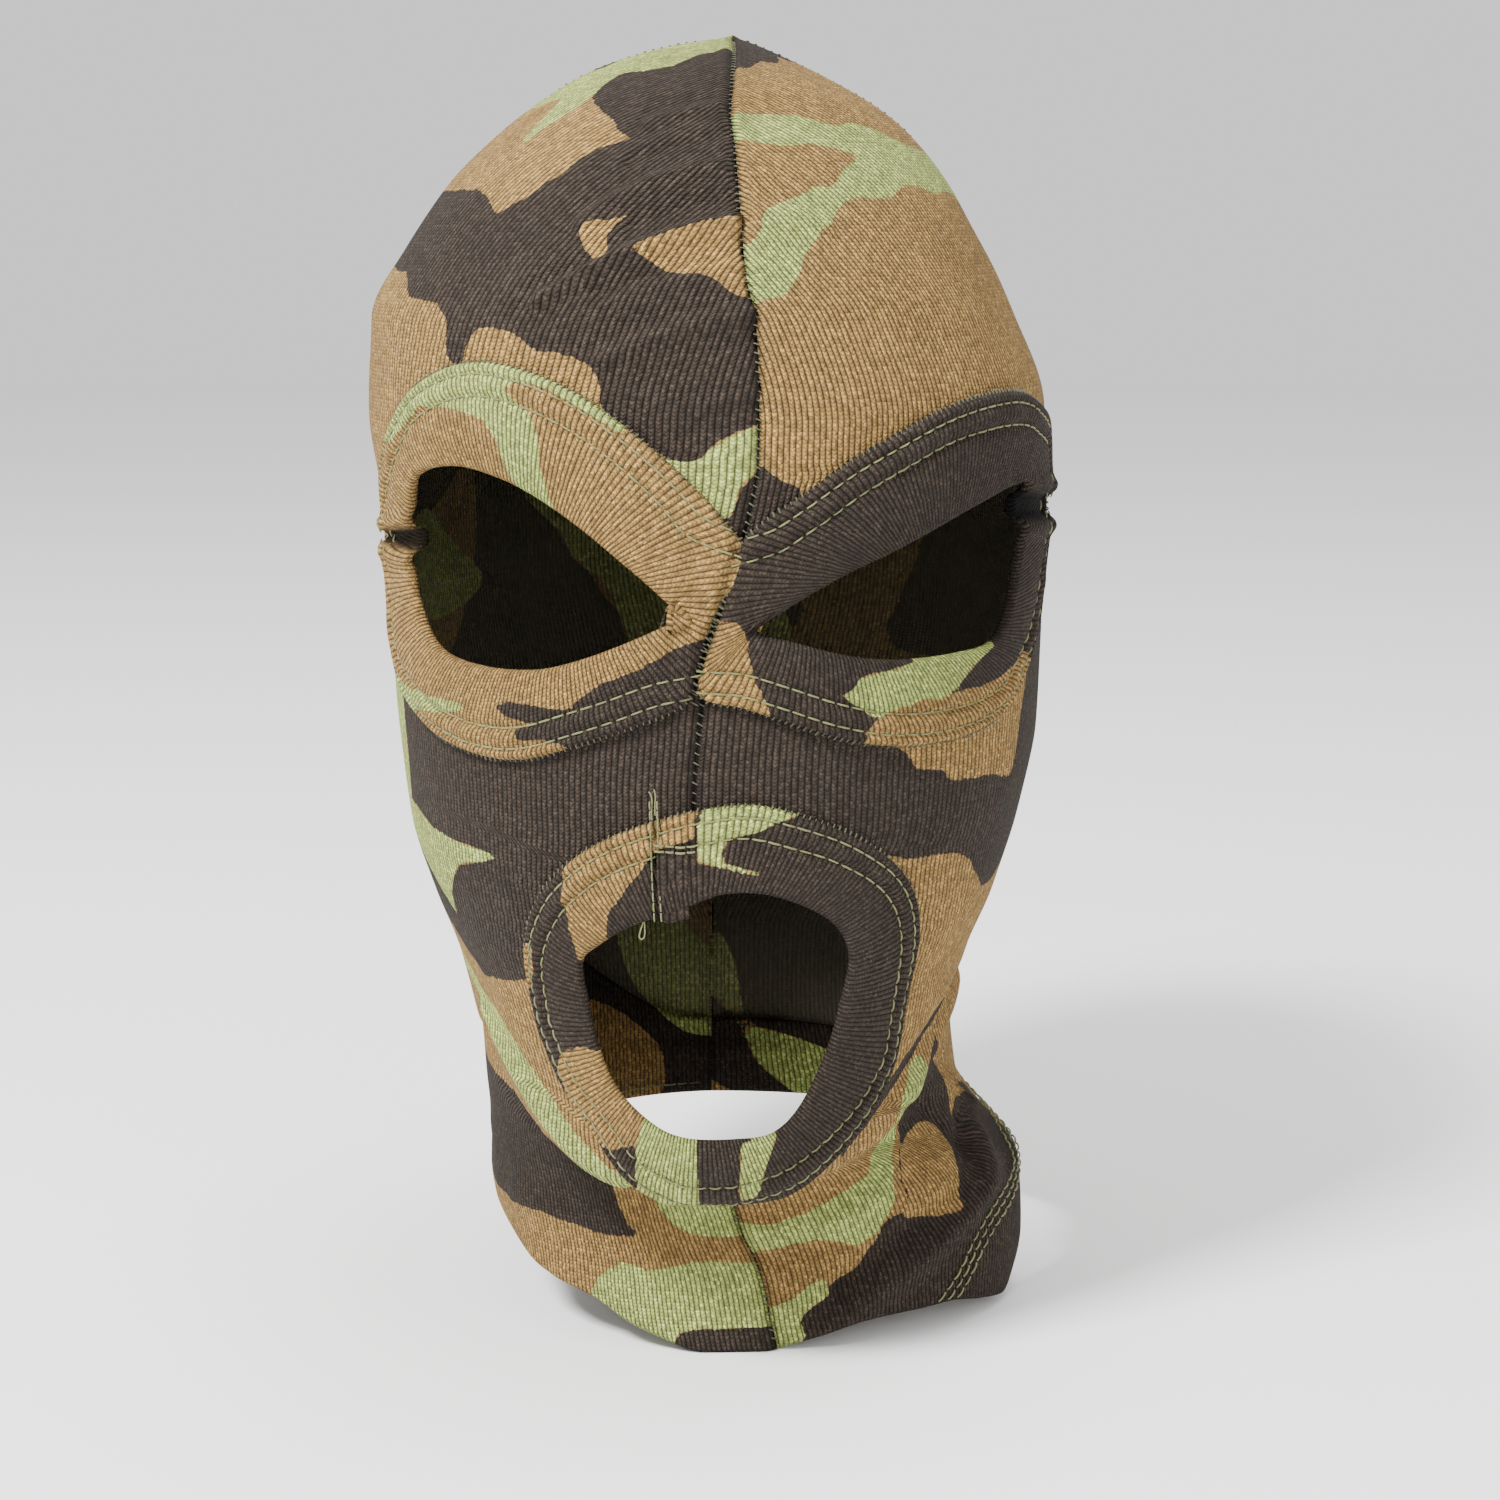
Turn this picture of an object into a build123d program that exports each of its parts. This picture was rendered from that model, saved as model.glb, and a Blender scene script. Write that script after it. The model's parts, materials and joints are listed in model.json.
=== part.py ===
"""Knitted three-hole face mask (balaclava), drawn in the shape it takes on a head.

Millimetres. The origin is the middle of the neck opening, level with the hem at the throat.
+Z points up to the crown, -Y is the way the face looks, +X is the wearer's left.
Every piece lies in a layer between two head forms: the cloth's outer face grown outwards
or inwards by a known amount. Prisms drawn from a piece's flat outline cut it from its layer.
"""

import math
import os

from build123d import *

# ---- Driving dimensions -----------------------------------------------------------------
mask_height = 290.0  # hem at the throat to the crown tip
head_width = 154.0  # over both temples
face_depth = 88.0  # from the head's axis forward to the brow
nape_depth = 98.0  # from the head's axis back to the occiput

cloth = 1.2  # one layer of rib knit
hem_depth = 20.0  # how far the cloth is turned up inside at the hem
hem_rise = 22.0  # how much higher the hem hangs at the nape than at the throat

eye_width = 72.0  # eye opening, inner corner to outer corner
eye_height = 40.0
eye_level = 177.0  # height of the eye openings' middle
eye_facing = 32.0  # degrees between an eye opening and straight ahead
mask_turn = 5.0  # degrees that both eye openings sit turned to the wearer's left
band_width = 21.0  # eye band, outer edge to opening

mouth_width = 54.0
mouth_height = 52.0
mouth_level = 89.0
mouth_band_width = 16.0
band_layers = 2  # a band is a strip folded double
panel_under_band = 9.0  # how far the hood's cut edge reaches in under a band

thread = 0.5  # how far sewing thread stands proud of the cloth
row_width = 0.8  # one row of topstitching
first_row = 2.6  # from a band's outer edge to the middle of its first row
row_gap = 4.4  # between the middles of a band's two rows
overlock_width = 0.8  # thread wrapped round a band's outer edge
seam_width = 2.4  # overlocked seam between two panels
hem_row_gap = 3.2  # between the middles of the hem's three rows
crown_seam_length = 46.0  # how far down the sideways crown seams end
join_from_axis = 6.0  # the mouth band's own join, to the wearer's right
clearance = 0.2  # between two threads where one passes the other

# ---- Values that follow from them ---------------------------------------------------------
half_width = head_width / 2
band_thick = band_layers * cloth
band_top = band_thick + thread
second_row = first_row + row_gap
seam_gap = seam_width / 2 + clearance
bridge_level = eye_level - eye_height / 2
first_hem_row = hem_depth - hem_row_gap / 2
reach = 2 * max(mask_height, head_width, nape_depth)  # past the whole mask from inside it

# Level sections from the hem to the crown, as shares of the driving dimensions:
# (height, right half width, left half width, front depth, back depth)
sections = [
    (0.000, 0.65, 0.94, 0.63, 0.67),
    (0.100, 0.68, 0.86, 0.58, 0.65),
    (0.138, 0.69, 0.76, 0.62, 0.66),
    (0.162, 0.70, 0.74, 0.76, 0.67),
    (0.193, 0.71, 0.73, 0.88, 0.69),
    (0.228, 0.72, 0.74, 0.94, 0.72),
    (0.290, 0.79, 0.81, 0.97, 0.79),
    (0.410, 0.93, 0.93, 0.98, 0.92),
    (0.470, 0.96, 0.96, 0.98, 0.96),
    (0.560, 0.99, 0.99, 0.99, 1.00),
    (0.717, 1.00, 1.00, 1.00, 1.00),
    (0.786, 0.94, 0.95, 0.96, 0.97),
    (0.838, 0.85, 0.87, 0.88, 0.90),
    (0.890, 0.71, 0.73, 0.75, 0.78),
    (0.938, 0.53, 0.55, 0.57, 0.59),
    (0.972, 0.33, 0.35, 0.37, 0.39),
    (1.000, 0.04, 0.04, 0.04, 0.04),
]

# The centre seam wanders where the mask is pulled on: (height share, share of the half width)
seam_path = [
    (-0.30, 0.17),
    (0.04, 0.15),
    (0.16, 0.03),
    (0.38, -0.02),
    (0.47, -0.02),
    (0.56, 0.05),
    (0.66, 0.10),
    (0.76, 0.11),
    (0.88, 0.07),
    (1.30, 0.05),
]

# Openings as shares of half their width and height. The eye's inner corner comes first.
eye_outline = [
    (-1.00, -0.32),
    (-0.62, 0.16),
    (0.10, 0.62),
    (0.75, 1.00),
    (1.00, 0.55),
    (0.88, -0.45),
    (0.35, -0.98),
    (-0.55, -0.86),
]
mouth_outline = [
    (0.00, 1.00),
    (0.72, 0.78),
    (1.00, 0.15),
    (0.62, -0.72),
    (0.00, -1.00),
    (-0.62, -0.72),
    (-1.00, 0.15),
    (-0.72, 0.78),
]


def facing_out(index, column, size):
    """Outward normal, sideways and upwards, of the profile held in one column of the sections."""
    below = sections[max(index - 1, 0)]
    above = sections[min(index + 1, len(sections) - 1)]
    run = (above[column] - below[column]) * size
    rise = (above[0] - below[0]) * mask_height
    length = math.hypot(run, rise)
    return rise / length, -run / length


def head_form(grow, below_hem):
    """Solid inside the cloth's outer face, grown outwards and carried on below the hem."""
    sizes = [half_width, half_width, face_depth, nape_depth]
    levels = []
    for index, shares in enumerate(sections):
        normals = [facing_out(index, column + 1, size) for column, size in enumerate(sizes)]
        radii = [
            shares[column + 1] * size + normals[column][0] * grow
            for column, size in enumerate(sizes)
        ]
        rise = (normals[0][1] + normals[2][1]) / 2 * grow
        levels.append((shares[0] * mask_height + rise, radii))
    lowest_radii = levels[0][1]
    levels[0] = (0, lowest_radii)
    levels.insert(0, (-below_hem, lowest_radii))
    with BuildPart() as form:
        for height, (right, left, front, back) in levels:
            with BuildSketch(Plane.XY.offset(height)):
                with BuildLine():
                    EllipticalCenterArc((0, 0), left, back, start_angle=0, arc_size=90)
                    EllipticalCenterArc((0, 0), right, back, start_angle=90, arc_size=90)
                    EllipticalCenterArc((0, 0), right, front, start_angle=180, arc_size=90)
                    EllipticalCenterArc((0, 0), left, front, start_angle=270, arc_size=90)
                make_face()
        loft(ruled=True)
    return form.part


def layer(low, high):
    """Everything between the head form grown by low and the one grown by high."""
    outer = head_form(high, hem_depth)
    inner = head_form(low, 2 * hem_depth)
    with BuildPart() as between:
        add(outer)
        add(inner, mode=Mode.SUBTRACT)
    return between.part


def opening_plane(turn, level):
    """Upright plane through the head's axis, turned from straight ahead to the wearer's left."""
    angle = math.radians(turn)
    return Plane(
        origin=(0, 0, level),
        x_dir=(math.cos(angle), math.sin(angle), 0),
        z_dir=(math.sin(angle), -math.cos(angle), 0),
    )


def opening(plane, outline, width, height, grow):
    """Prism from the head's axis out through the cloth, over an outline grown all round."""
    across = width / 2 + grow
    up = height / 2 + grow
    with BuildPart() as prism:
        with BuildSketch(plane):
            with BuildLine():
                Spline(*[(x * across, z * up) for x, z in outline], periodic=True)
            make_face()
        extrude(amount=reach)
    return prism.part


def left_eye(grow):
    """The wearer's left eye opening, grown."""
    plane = opening_plane(mask_turn + eye_facing, eye_level)
    return opening(plane, eye_outline, eye_width, eye_height, grow)


def right_eye(grow):
    """The wearer's right eye opening, grown: its outline is the left one's mirror image."""
    plane = opening_plane(mask_turn - eye_facing, eye_level)
    mirrored = [(-x, z) for x, z in eye_outline]
    return opening(plane, mirrored, eye_width, eye_height, grow)


def mouth(grow):
    """The mouth opening, grown."""
    plane = opening_plane(0, mouth_level)
    return opening(plane, mouth_outline, mouth_width, mouth_height, grow)


def ring(shape, outer, inner):
    """Prism of the strip between an opening grown by outer and the same grown by inner."""
    around = shape(outer)
    within = shape(inner)
    with BuildPart() as strip:
        add(around)
        add(within, mode=Mode.SUBTRACT)
    return strip.part


def seam_strip(low, high):
    """Upright prism between the centre seam moved sideways by low and by high."""
    path = [(across * half_width, share * mask_height) for share, across in seam_path]
    with BuildPart() as strip:
        with BuildSketch(Plane.XZ):
            with BuildLine():
                one = Spline(*[(x + low, z) for x, z in path])
                other = Spline(*[(x + high, z) for x, z in path])
                Line(one @ 0, other @ 0)
                Line(one @ 1, other @ 1)
            make_face()
        extrude(amount=reach, both=True)
    return strip.part


def hem_slab(low, high):
    """Everything between the hem's own plane raised by low and the same plane raised by high."""
    front = -sections[0][3] * face_depth
    back = sections[0][4] * nape_depth
    slope = hem_rise / (back - front)
    near, far = -reach, reach
    near_rise, far_rise = (near - front) * slope, (far - front) * slope
    with BuildPart() as slab:
        with BuildSketch(Plane.YZ):
            with BuildLine():
                Polyline(
                    (near, near_rise + low),
                    (far, far_rise + low),
                    (far, far_rise + high),
                    (near, near_rise + high),
                    close=True,
                )
            make_face()
        extrude(amount=reach, both=True)
    return slab.part


def row_prism(shape, grow):
    """Prism under one row of topstitching, whose middle runs along an opening grown by grow."""
    return ring(shape, grow + row_width / 2, grow - row_width / 2)


def hem_row(height):
    """Slab under one row of hem stitching, whose middle runs at a height above the hem's edge."""
    return hem_slab(height - row_width / 2, height + row_width / 2)


def block(x_range, y_range, z_range):
    """Box given by its lowest and highest value along each axis."""
    with BuildPart() as box:
        middle = [(low + high) / 2 for low, high in (x_range, y_range, z_range)]
        with Locations(tuple(middle)):
            Box(
                x_range[1] - x_range[0],
                y_range[1] - y_range[0],
                z_range[1] - z_range[0],
            )
    return box.part


# ---- Layers of cloth and thread, and the prisms that cut them --------------------------------
hood_layer = layer(-cloth, 0)
turned_up_layer = layer(-2 * cloth, -cloth)
band_layer = layer(0, band_thick)
hood_thread = layer(0, thread)
band_thread = layer(band_thick, band_top)

wearers_left = seam_strip(0, reach)
wearers_right = seam_strip(-reach, 0)
left_of_seam = seam_strip(seam_gap, reach)
right_of_seam = seam_strip(-reach, -seam_gap)
seam_ribbon = seam_strip(-seam_width / 2, seam_width / 2)
above_hem = hem_slab(0, reach)
turned_up = hem_slab(0, hem_depth)
above_hem_rows = hem_slab(hem_depth, reach)

left_eye_hole = left_eye(0)
right_eye_hole = right_eye(0)
mouth_hole = mouth(0)
left_eye_cut = left_eye(band_width - panel_under_band)
right_eye_cut = right_eye(band_width - panel_under_band)
mouth_cut = mouth(mouth_band_width - panel_under_band)
left_eye_edge = left_eye(band_width)
right_eye_edge = right_eye(band_width)
mouth_edge = mouth(mouth_band_width)
left_eye_room = left_eye(band_width + overlock_width + clearance)
right_eye_room = right_eye(band_width + overlock_width + clearance)
mouth_room = mouth(mouth_band_width + overlock_width + clearance)

front_half = block((-reach, reach), (-reach, -clearance / 2), (-reach, reach))
back_half = block((-reach, reach), (clearance / 2, reach), (-reach, reach))
above_nose = block((-reach, reach), (-reach, 0), (bridge_level, reach))
nose_part = block((-reach, reach), (-reach, 0), (mouth_level, bridge_level))
below_mouth = block((-reach, reach), (-reach, 0), (-reach, mouth_level))
crown_ribbon = block(
    (-reach, reach),
    (-seam_width / 2, seam_width / 2),
    (mask_height - crown_seam_length, reach),
)
join_ribbon = block(
    (-join_from_axis - row_width / 2, -join_from_axis + row_width / 2),
    (-reach, 0),
    (mouth_level, reach),
)
join_room = block(
    (-join_from_axis - row_width / 2 - clearance, -join_from_axis + row_width / 2 + clearance),
    (-reach, 0),
    (mouth_level, reach),
)

left_eye_overlock_ring = ring(left_eye, band_width + overlock_width, band_width)
right_eye_overlock_ring = ring(right_eye, band_width + overlock_width, band_width)
mouth_overlock_ring = ring(mouth, mouth_band_width + overlock_width, mouth_band_width)
left_eye_outer_row = row_prism(left_eye, band_width - first_row)
left_eye_inner_row = row_prism(left_eye, band_width - second_row)
right_eye_outer_row = row_prism(right_eye, band_width - first_row)
right_eye_inner_row = row_prism(right_eye, band_width - second_row)
mouth_outer_row = row_prism(mouth, mouth_band_width - first_row)
mouth_inner_row = row_prism(mouth, mouth_band_width - second_row)
upper_hem_row = hem_row(first_hem_row)
middle_hem_row = hem_row(first_hem_row - hem_row_gap)
lower_hem_row = hem_row(first_hem_row - 2 * hem_row_gap)

os.makedirs("parts", exist_ok=True)

# ---- Hood: two mirror-cut panels, each with its hem turned up inside --------------------------
with BuildPart() as hood_outside_layer:
    add(hood_layer)
    add(above_hem, mode=Mode.INTERSECT)
with BuildPart() as hood_turned_up_layer:
    add(turned_up_layer)
    add(turned_up, mode=Mode.INTERSECT)
hood_outside = hood_outside_layer.part
hood_turned_up = hood_turned_up_layer.part

with BuildPart() as left_hood_panel:
    add(hood_outside)
    add(hood_turned_up)
    add(wearers_left, mode=Mode.INTERSECT)
    add(left_eye_cut, mode=Mode.SUBTRACT)
    add(mouth_cut, mode=Mode.SUBTRACT)
left_hood_panel.part.label = "left_hood_panel"
export_step(left_hood_panel.part, "parts/left_hood_panel.step")

with BuildPart() as right_hood_panel:
    add(hood_outside)
    add(hood_turned_up)
    add(wearers_right, mode=Mode.INTERSECT)
    add(right_eye_cut, mode=Mode.SUBTRACT)
    add(mouth_cut, mode=Mode.SUBTRACT)
right_hood_panel.part.label = "right_hood_panel"
export_step(right_hood_panel.part, "parts/right_hood_panel.step")

# ---- Bands round the openings: strips folded double and laid on the hood -----------------------
with BuildPart() as left_eye_band:
    add(band_layer)
    add(left_eye_edge, mode=Mode.INTERSECT)
    add(left_eye_hole, mode=Mode.SUBTRACT)
    add(wearers_left, mode=Mode.INTERSECT)
left_eye_band.part.label = "left_eye_band"
export_step(left_eye_band.part, "parts/left_eye_band.step")

with BuildPart() as right_eye_band:
    add(band_layer)
    add(right_eye_edge, mode=Mode.INTERSECT)
    add(right_eye_hole, mode=Mode.SUBTRACT)
    add(wearers_right, mode=Mode.INTERSECT)
right_eye_band.part.label = "right_eye_band"
export_step(right_eye_band.part, "parts/right_eye_band.step")

with BuildPart() as mouth_band:
    add(band_layer)
    add(mouth_edge, mode=Mode.INTERSECT)
    add(mouth_hole, mode=Mode.SUBTRACT)
mouth_band.part.label = "mouth_band"
export_step(mouth_band.part, "parts/mouth_band.step")

# ---- Seams between the panels: overlocked thread standing on the cloth ---------------------------
with BuildPart() as forehead_seam:
    add(hood_thread)
    add(seam_ribbon, mode=Mode.INTERSECT)
    add(front_half, mode=Mode.INTERSECT)
    add(above_nose, mode=Mode.INTERSECT)
    add(left_eye_room, mode=Mode.SUBTRACT)
    add(right_eye_room, mode=Mode.SUBTRACT)
forehead_seam.part.label = "forehead_seam"
export_step(forehead_seam.part, "parts/forehead_seam.step")

# It joins the two eye bands where both reach the seam.
with BuildPart() as bridge_seam:
    add(band_thread)
    add(seam_ribbon, mode=Mode.INTERSECT)
    add(left_eye_edge, mode=Mode.INTERSECT)
    add(right_eye_edge, mode=Mode.INTERSECT)
    add(left_eye_hole, mode=Mode.SUBTRACT)
    add(right_eye_hole, mode=Mode.SUBTRACT)
bridge_seam.part.label = "bridge_seam"
export_step(bridge_seam.part, "parts/bridge_seam.step")

with BuildPart() as nose_seam:
    add(hood_thread)
    add(seam_ribbon, mode=Mode.INTERSECT)
    add(nose_part, mode=Mode.INTERSECT)
    add(left_eye_room, mode=Mode.SUBTRACT)
    add(right_eye_room, mode=Mode.SUBTRACT)
    add(mouth_room, mode=Mode.SUBTRACT)
nose_seam.part.label = "nose_seam"
export_step(nose_seam.part, "parts/nose_seam.step")

with BuildPart() as chin_seam:
    add(hood_thread)
    add(seam_ribbon, mode=Mode.INTERSECT)
    add(below_mouth, mode=Mode.INTERSECT)
    add(above_hem_rows, mode=Mode.INTERSECT)
    add(mouth_room, mode=Mode.SUBTRACT)
chin_seam.part.label = "chin_seam"
export_step(chin_seam.part, "parts/chin_seam.step")

with BuildPart() as back_seam:
    add(hood_thread)
    add(seam_ribbon, mode=Mode.INTERSECT)
    add(back_half, mode=Mode.INTERSECT)
    add(above_hem_rows, mode=Mode.INTERSECT)
back_seam.part.label = "back_seam"
export_step(back_seam.part, "parts/back_seam.step")

with BuildPart() as left_crown_seam:
    add(hood_thread)
    add(crown_ribbon, mode=Mode.INTERSECT)
    add(left_of_seam, mode=Mode.INTERSECT)
left_crown_seam.part.label = "left_crown_seam"
export_step(left_crown_seam.part, "parts/left_crown_seam.step")

with BuildPart() as right_crown_seam:
    add(hood_thread)
    add(crown_ribbon, mode=Mode.INTERSECT)
    add(right_of_seam, mode=Mode.INTERSECT)
right_crown_seam.part.label = "right_crown_seam"
export_step(right_crown_seam.part, "parts/right_crown_seam.step")

# ---- Overlock thread round the outer edge of each band ------------------------------------------
with BuildPart() as left_eye_overlock:
    add(band_layer)
    add(left_eye_overlock_ring, mode=Mode.INTERSECT)
    add(wearers_left, mode=Mode.INTERSECT)
left_eye_overlock.part.label = "left_eye_overlock"
export_step(left_eye_overlock.part, "parts/left_eye_overlock.step")

with BuildPart() as right_eye_overlock:
    add(band_layer)
    add(right_eye_overlock_ring, mode=Mode.INTERSECT)
    add(wearers_right, mode=Mode.INTERSECT)
right_eye_overlock.part.label = "right_eye_overlock"
export_step(right_eye_overlock.part, "parts/right_eye_overlock.step")

with BuildPart() as mouth_overlock:
    add(band_layer)
    add(mouth_overlock_ring, mode=Mode.INTERSECT)
mouth_overlock.part.label = "mouth_overlock"
export_step(mouth_overlock.part, "parts/mouth_overlock.step")

# ---- Two rows of topstitching round each band ----------------------------------------------------
with BuildPart() as left_eye_topstitch_outer:
    add(band_thread)
    add(left_eye_outer_row, mode=Mode.INTERSECT)
    add(left_of_seam, mode=Mode.INTERSECT)
left_eye_topstitch_outer.part.label = "left_eye_topstitch_outer"
export_step(left_eye_topstitch_outer.part, "parts/left_eye_topstitch_outer.step")

with BuildPart() as left_eye_topstitch_inner:
    add(band_thread)
    add(left_eye_inner_row, mode=Mode.INTERSECT)
    add(left_of_seam, mode=Mode.INTERSECT)
left_eye_topstitch_inner.part.label = "left_eye_topstitch_inner"
export_step(left_eye_topstitch_inner.part, "parts/left_eye_topstitch_inner.step")

with BuildPart() as right_eye_topstitch_outer:
    add(band_thread)
    add(right_eye_outer_row, mode=Mode.INTERSECT)
    add(right_of_seam, mode=Mode.INTERSECT)
right_eye_topstitch_outer.part.label = "right_eye_topstitch_outer"
export_step(right_eye_topstitch_outer.part, "parts/right_eye_topstitch_outer.step")

with BuildPart() as right_eye_topstitch_inner:
    add(band_thread)
    add(right_eye_inner_row, mode=Mode.INTERSECT)
    add(right_of_seam, mode=Mode.INTERSECT)
right_eye_topstitch_inner.part.label = "right_eye_topstitch_inner"
export_step(right_eye_topstitch_inner.part, "parts/right_eye_topstitch_inner.step")

with BuildPart() as mouth_topstitch_outer:
    add(band_thread)
    add(mouth_outer_row, mode=Mode.INTERSECT)
    add(join_room, mode=Mode.SUBTRACT)
mouth_topstitch_outer.part.label = "mouth_topstitch_outer"
export_step(mouth_topstitch_outer.part, "parts/mouth_topstitch_outer.step")

with BuildPart() as mouth_topstitch_inner:
    add(band_thread)
    add(mouth_inner_row, mode=Mode.INTERSECT)
    add(join_room, mode=Mode.SUBTRACT)
mouth_topstitch_inner.part.label = "mouth_topstitch_inner"
export_step(mouth_topstitch_inner.part, "parts/mouth_topstitch_inner.step")

# It closes the mouth band's own ends, and runs from its edge to the opening.
with BuildPart() as mouth_join_stitch:
    add(band_thread)
    add(join_ribbon, mode=Mode.INTERSECT)
    add(mouth_edge, mode=Mode.INTERSECT)
    add(mouth_hole, mode=Mode.SUBTRACT)
mouth_join_stitch.part.label = "mouth_join_stitch"
export_step(mouth_join_stitch.part, "parts/mouth_join_stitch.step")

# ---- Three rows of cover stitch that hold the turned-up hem --------------------------------------
with BuildPart() as hem_topstitch_upper:
    add(hood_thread)
    add(upper_hem_row, mode=Mode.INTERSECT)
hem_topstitch_upper.part.label = "hem_topstitch_upper"
export_step(hem_topstitch_upper.part, "parts/hem_topstitch_upper.step")

with BuildPart() as hem_topstitch_middle:
    add(hood_thread)
    add(middle_hem_row, mode=Mode.INTERSECT)
hem_topstitch_middle.part.label = "hem_topstitch_middle"
export_step(hem_topstitch_middle.part, "parts/hem_topstitch_middle.step")

with BuildPart() as hem_topstitch_lower:
    add(hood_thread)
    add(lower_hem_row, mode=Mode.INTERSECT)
hem_topstitch_lower.part.label = "hem_topstitch_lower"
export_step(hem_topstitch_lower.part, "parts/hem_topstitch_lower.step")
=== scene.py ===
"""Rib-knit face mask in a woodland pattern, drawn in the shape a head gives it."""

import json
import math

import bmesh
import bpy
import numpy as np
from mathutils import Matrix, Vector

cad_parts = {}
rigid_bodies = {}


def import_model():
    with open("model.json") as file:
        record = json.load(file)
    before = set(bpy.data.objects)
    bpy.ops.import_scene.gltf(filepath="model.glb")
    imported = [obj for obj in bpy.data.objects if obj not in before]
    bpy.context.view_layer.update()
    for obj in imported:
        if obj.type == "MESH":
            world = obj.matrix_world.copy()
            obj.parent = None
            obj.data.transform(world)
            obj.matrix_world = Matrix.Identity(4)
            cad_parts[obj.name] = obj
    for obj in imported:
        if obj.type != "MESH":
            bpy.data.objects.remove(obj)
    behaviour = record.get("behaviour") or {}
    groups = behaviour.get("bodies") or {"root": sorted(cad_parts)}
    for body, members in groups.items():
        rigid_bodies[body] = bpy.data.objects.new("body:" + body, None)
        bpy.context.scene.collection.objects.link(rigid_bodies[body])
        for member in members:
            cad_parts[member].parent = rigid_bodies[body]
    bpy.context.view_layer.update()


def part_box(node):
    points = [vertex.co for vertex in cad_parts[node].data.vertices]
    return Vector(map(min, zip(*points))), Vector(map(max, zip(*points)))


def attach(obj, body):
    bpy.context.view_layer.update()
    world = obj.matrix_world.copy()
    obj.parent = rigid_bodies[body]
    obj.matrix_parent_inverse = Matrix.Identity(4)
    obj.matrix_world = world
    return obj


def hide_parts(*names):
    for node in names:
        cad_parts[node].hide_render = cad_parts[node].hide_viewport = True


bl_info = {
    "name": "Camo face mask",
    "version": (1, 0, 0),
    "blender": (4, 5, 0),
    "location": "View3D > Sidebar > Face mask",
    "description": "Builds the knitted mask's cloth, bands, seams and stitching around its frame",
    "category": "Object",
}

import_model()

# ---- The head form the cloth lies on, in millimetres and degrees ------------------------
# theta runs round from straight ahead, positive to the wearer's left.
# v is the height, and above the temples the length of cloth up over the crown.

MM = 0.001
PANEL_BOXES = [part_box("left_hood_panel"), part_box("right_hood_panel")]
TALL = max(high.z for low, high in PANEL_BOXES) / MM
HALF = max(high.x for low, high in PANEL_BOXES) / MM
FRONT = -min(low.y for low, high in PANEL_BOXES) / MM
BACK = max(high.y for low, high in PANEL_BOXES) / MM

# height share, right half width, left half width, front depth, back depth, sideways shift
PROFILE = np.array([
    (0.000, 0.630, 0.950, 0.64, 0.67, 0.00),
    (0.048, 0.640, 0.975, 0.61, 0.66, 0.00),
    (0.103, 0.670, 0.965, 0.58, 0.65, 0.00),
    (0.124, 0.670, 0.900, 0.60, 0.65, 0.00),
    (0.138, 0.675, 0.850, 0.70, 0.66, 0.00),
    (0.150, 0.675, 0.815, 0.86, 0.66, 0.00),
    (0.172, 0.680, 0.770, 0.91, 0.67, 0.00),
    (0.228, 0.695, 0.745, 0.95, 0.71, 0.00),
    (0.290, 0.750, 0.785, 0.97, 0.78, 0.00),
    (0.345, 0.825, 0.875, 0.98, 0.85, 0.00),
    (0.400, 0.890, 0.935, 0.98, 0.91, 0.00),
    (0.470, 0.920, 0.990, 0.98, 0.96, 0.00),
    (0.560, 0.940, 1.000, 0.98, 1.00, 0.00),
    (0.640, 0.957, 1.000, 1.00, 1.00, 0.00),
    (0.717, 0.990, 1.000, 1.00, 1.00, 0.00),
    (0.786, 0.990, 0.900, 0.96, 0.97, 0.01),
    (0.838, 0.910, 0.785, 0.88, 0.90, 0.03),
    (0.890, 0.790, 0.655, 0.75, 0.78, 0.05),
    (0.938, 0.610, 0.470, 0.57, 0.59, 0.07),
    (0.972, 0.420, 0.240, 0.36, 0.38, 0.08),
    (0.993, 0.170, 0.070, 0.13, 0.15, 0.08),
    (1.000, 0.000, 0.000, 0.00, 0.00, 0.08),
])
CROWN_START = 0.717  # height share where v turns into a length over the crown
SQUARE = 2.2  # how square the head's outline is, seen from above; 2 is an ellipse
ACROSS = 1.45  # millimetres of cloth to a degree round the head

# The chin's outline is met higher up towards the ears, as a jaw is.
JAW_RISE, JAW_SIDE = 30, 75  # how much higher, and how many degrees round it is at its most
JAW_LEVEL, JAW_FADE = 60, 75  # above this level it fades out, over this height
NECK_FADE = 40  # and from this height down to the hem


def smooth_curve(knots, values, x):
    """A curve through the knots that never overshoots them."""
    knots, values, x = (np.asarray(a, float) for a in (knots, values, x))
    step = np.diff(knots)
    slope = np.diff(values) / step
    tangent = np.zeros_like(knots)
    same = slope[:-1] * slope[1:] > 0
    w1, w2 = 2 * step[1:] + step[:-1], step[1:] + 2 * step[:-1]
    with np.errstate(divide="ignore", invalid="ignore"):
        mean = (w1 + w2) / (w1 / slope[:-1] + w2 / slope[1:])
    tangent[1:-1] = np.where(same, mean, 0)
    tangent[0], tangent[-1] = slope[0], slope[-1]
    x = np.clip(x, knots[0], knots[-1])
    k = np.clip(np.searchsorted(knots, x, side="right") - 1, 0, len(step) - 1)
    t = (x - knots[k]) / step[k]
    return (
        values[k] * (1 + 2 * t) * (1 - t) ** 2
        + tangent[k] * step[k] * t * (1 - t) ** 2
        + values[k + 1] * t * t * (3 - 2 * t)
        + tangent[k + 1] * step[k] * t * t * (t - 1)
    )


def smooth_step(low, high, x):
    t = np.clip((x - low) / (high - low), 0, 1)
    return t * t * (3 - 2 * t)


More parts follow.
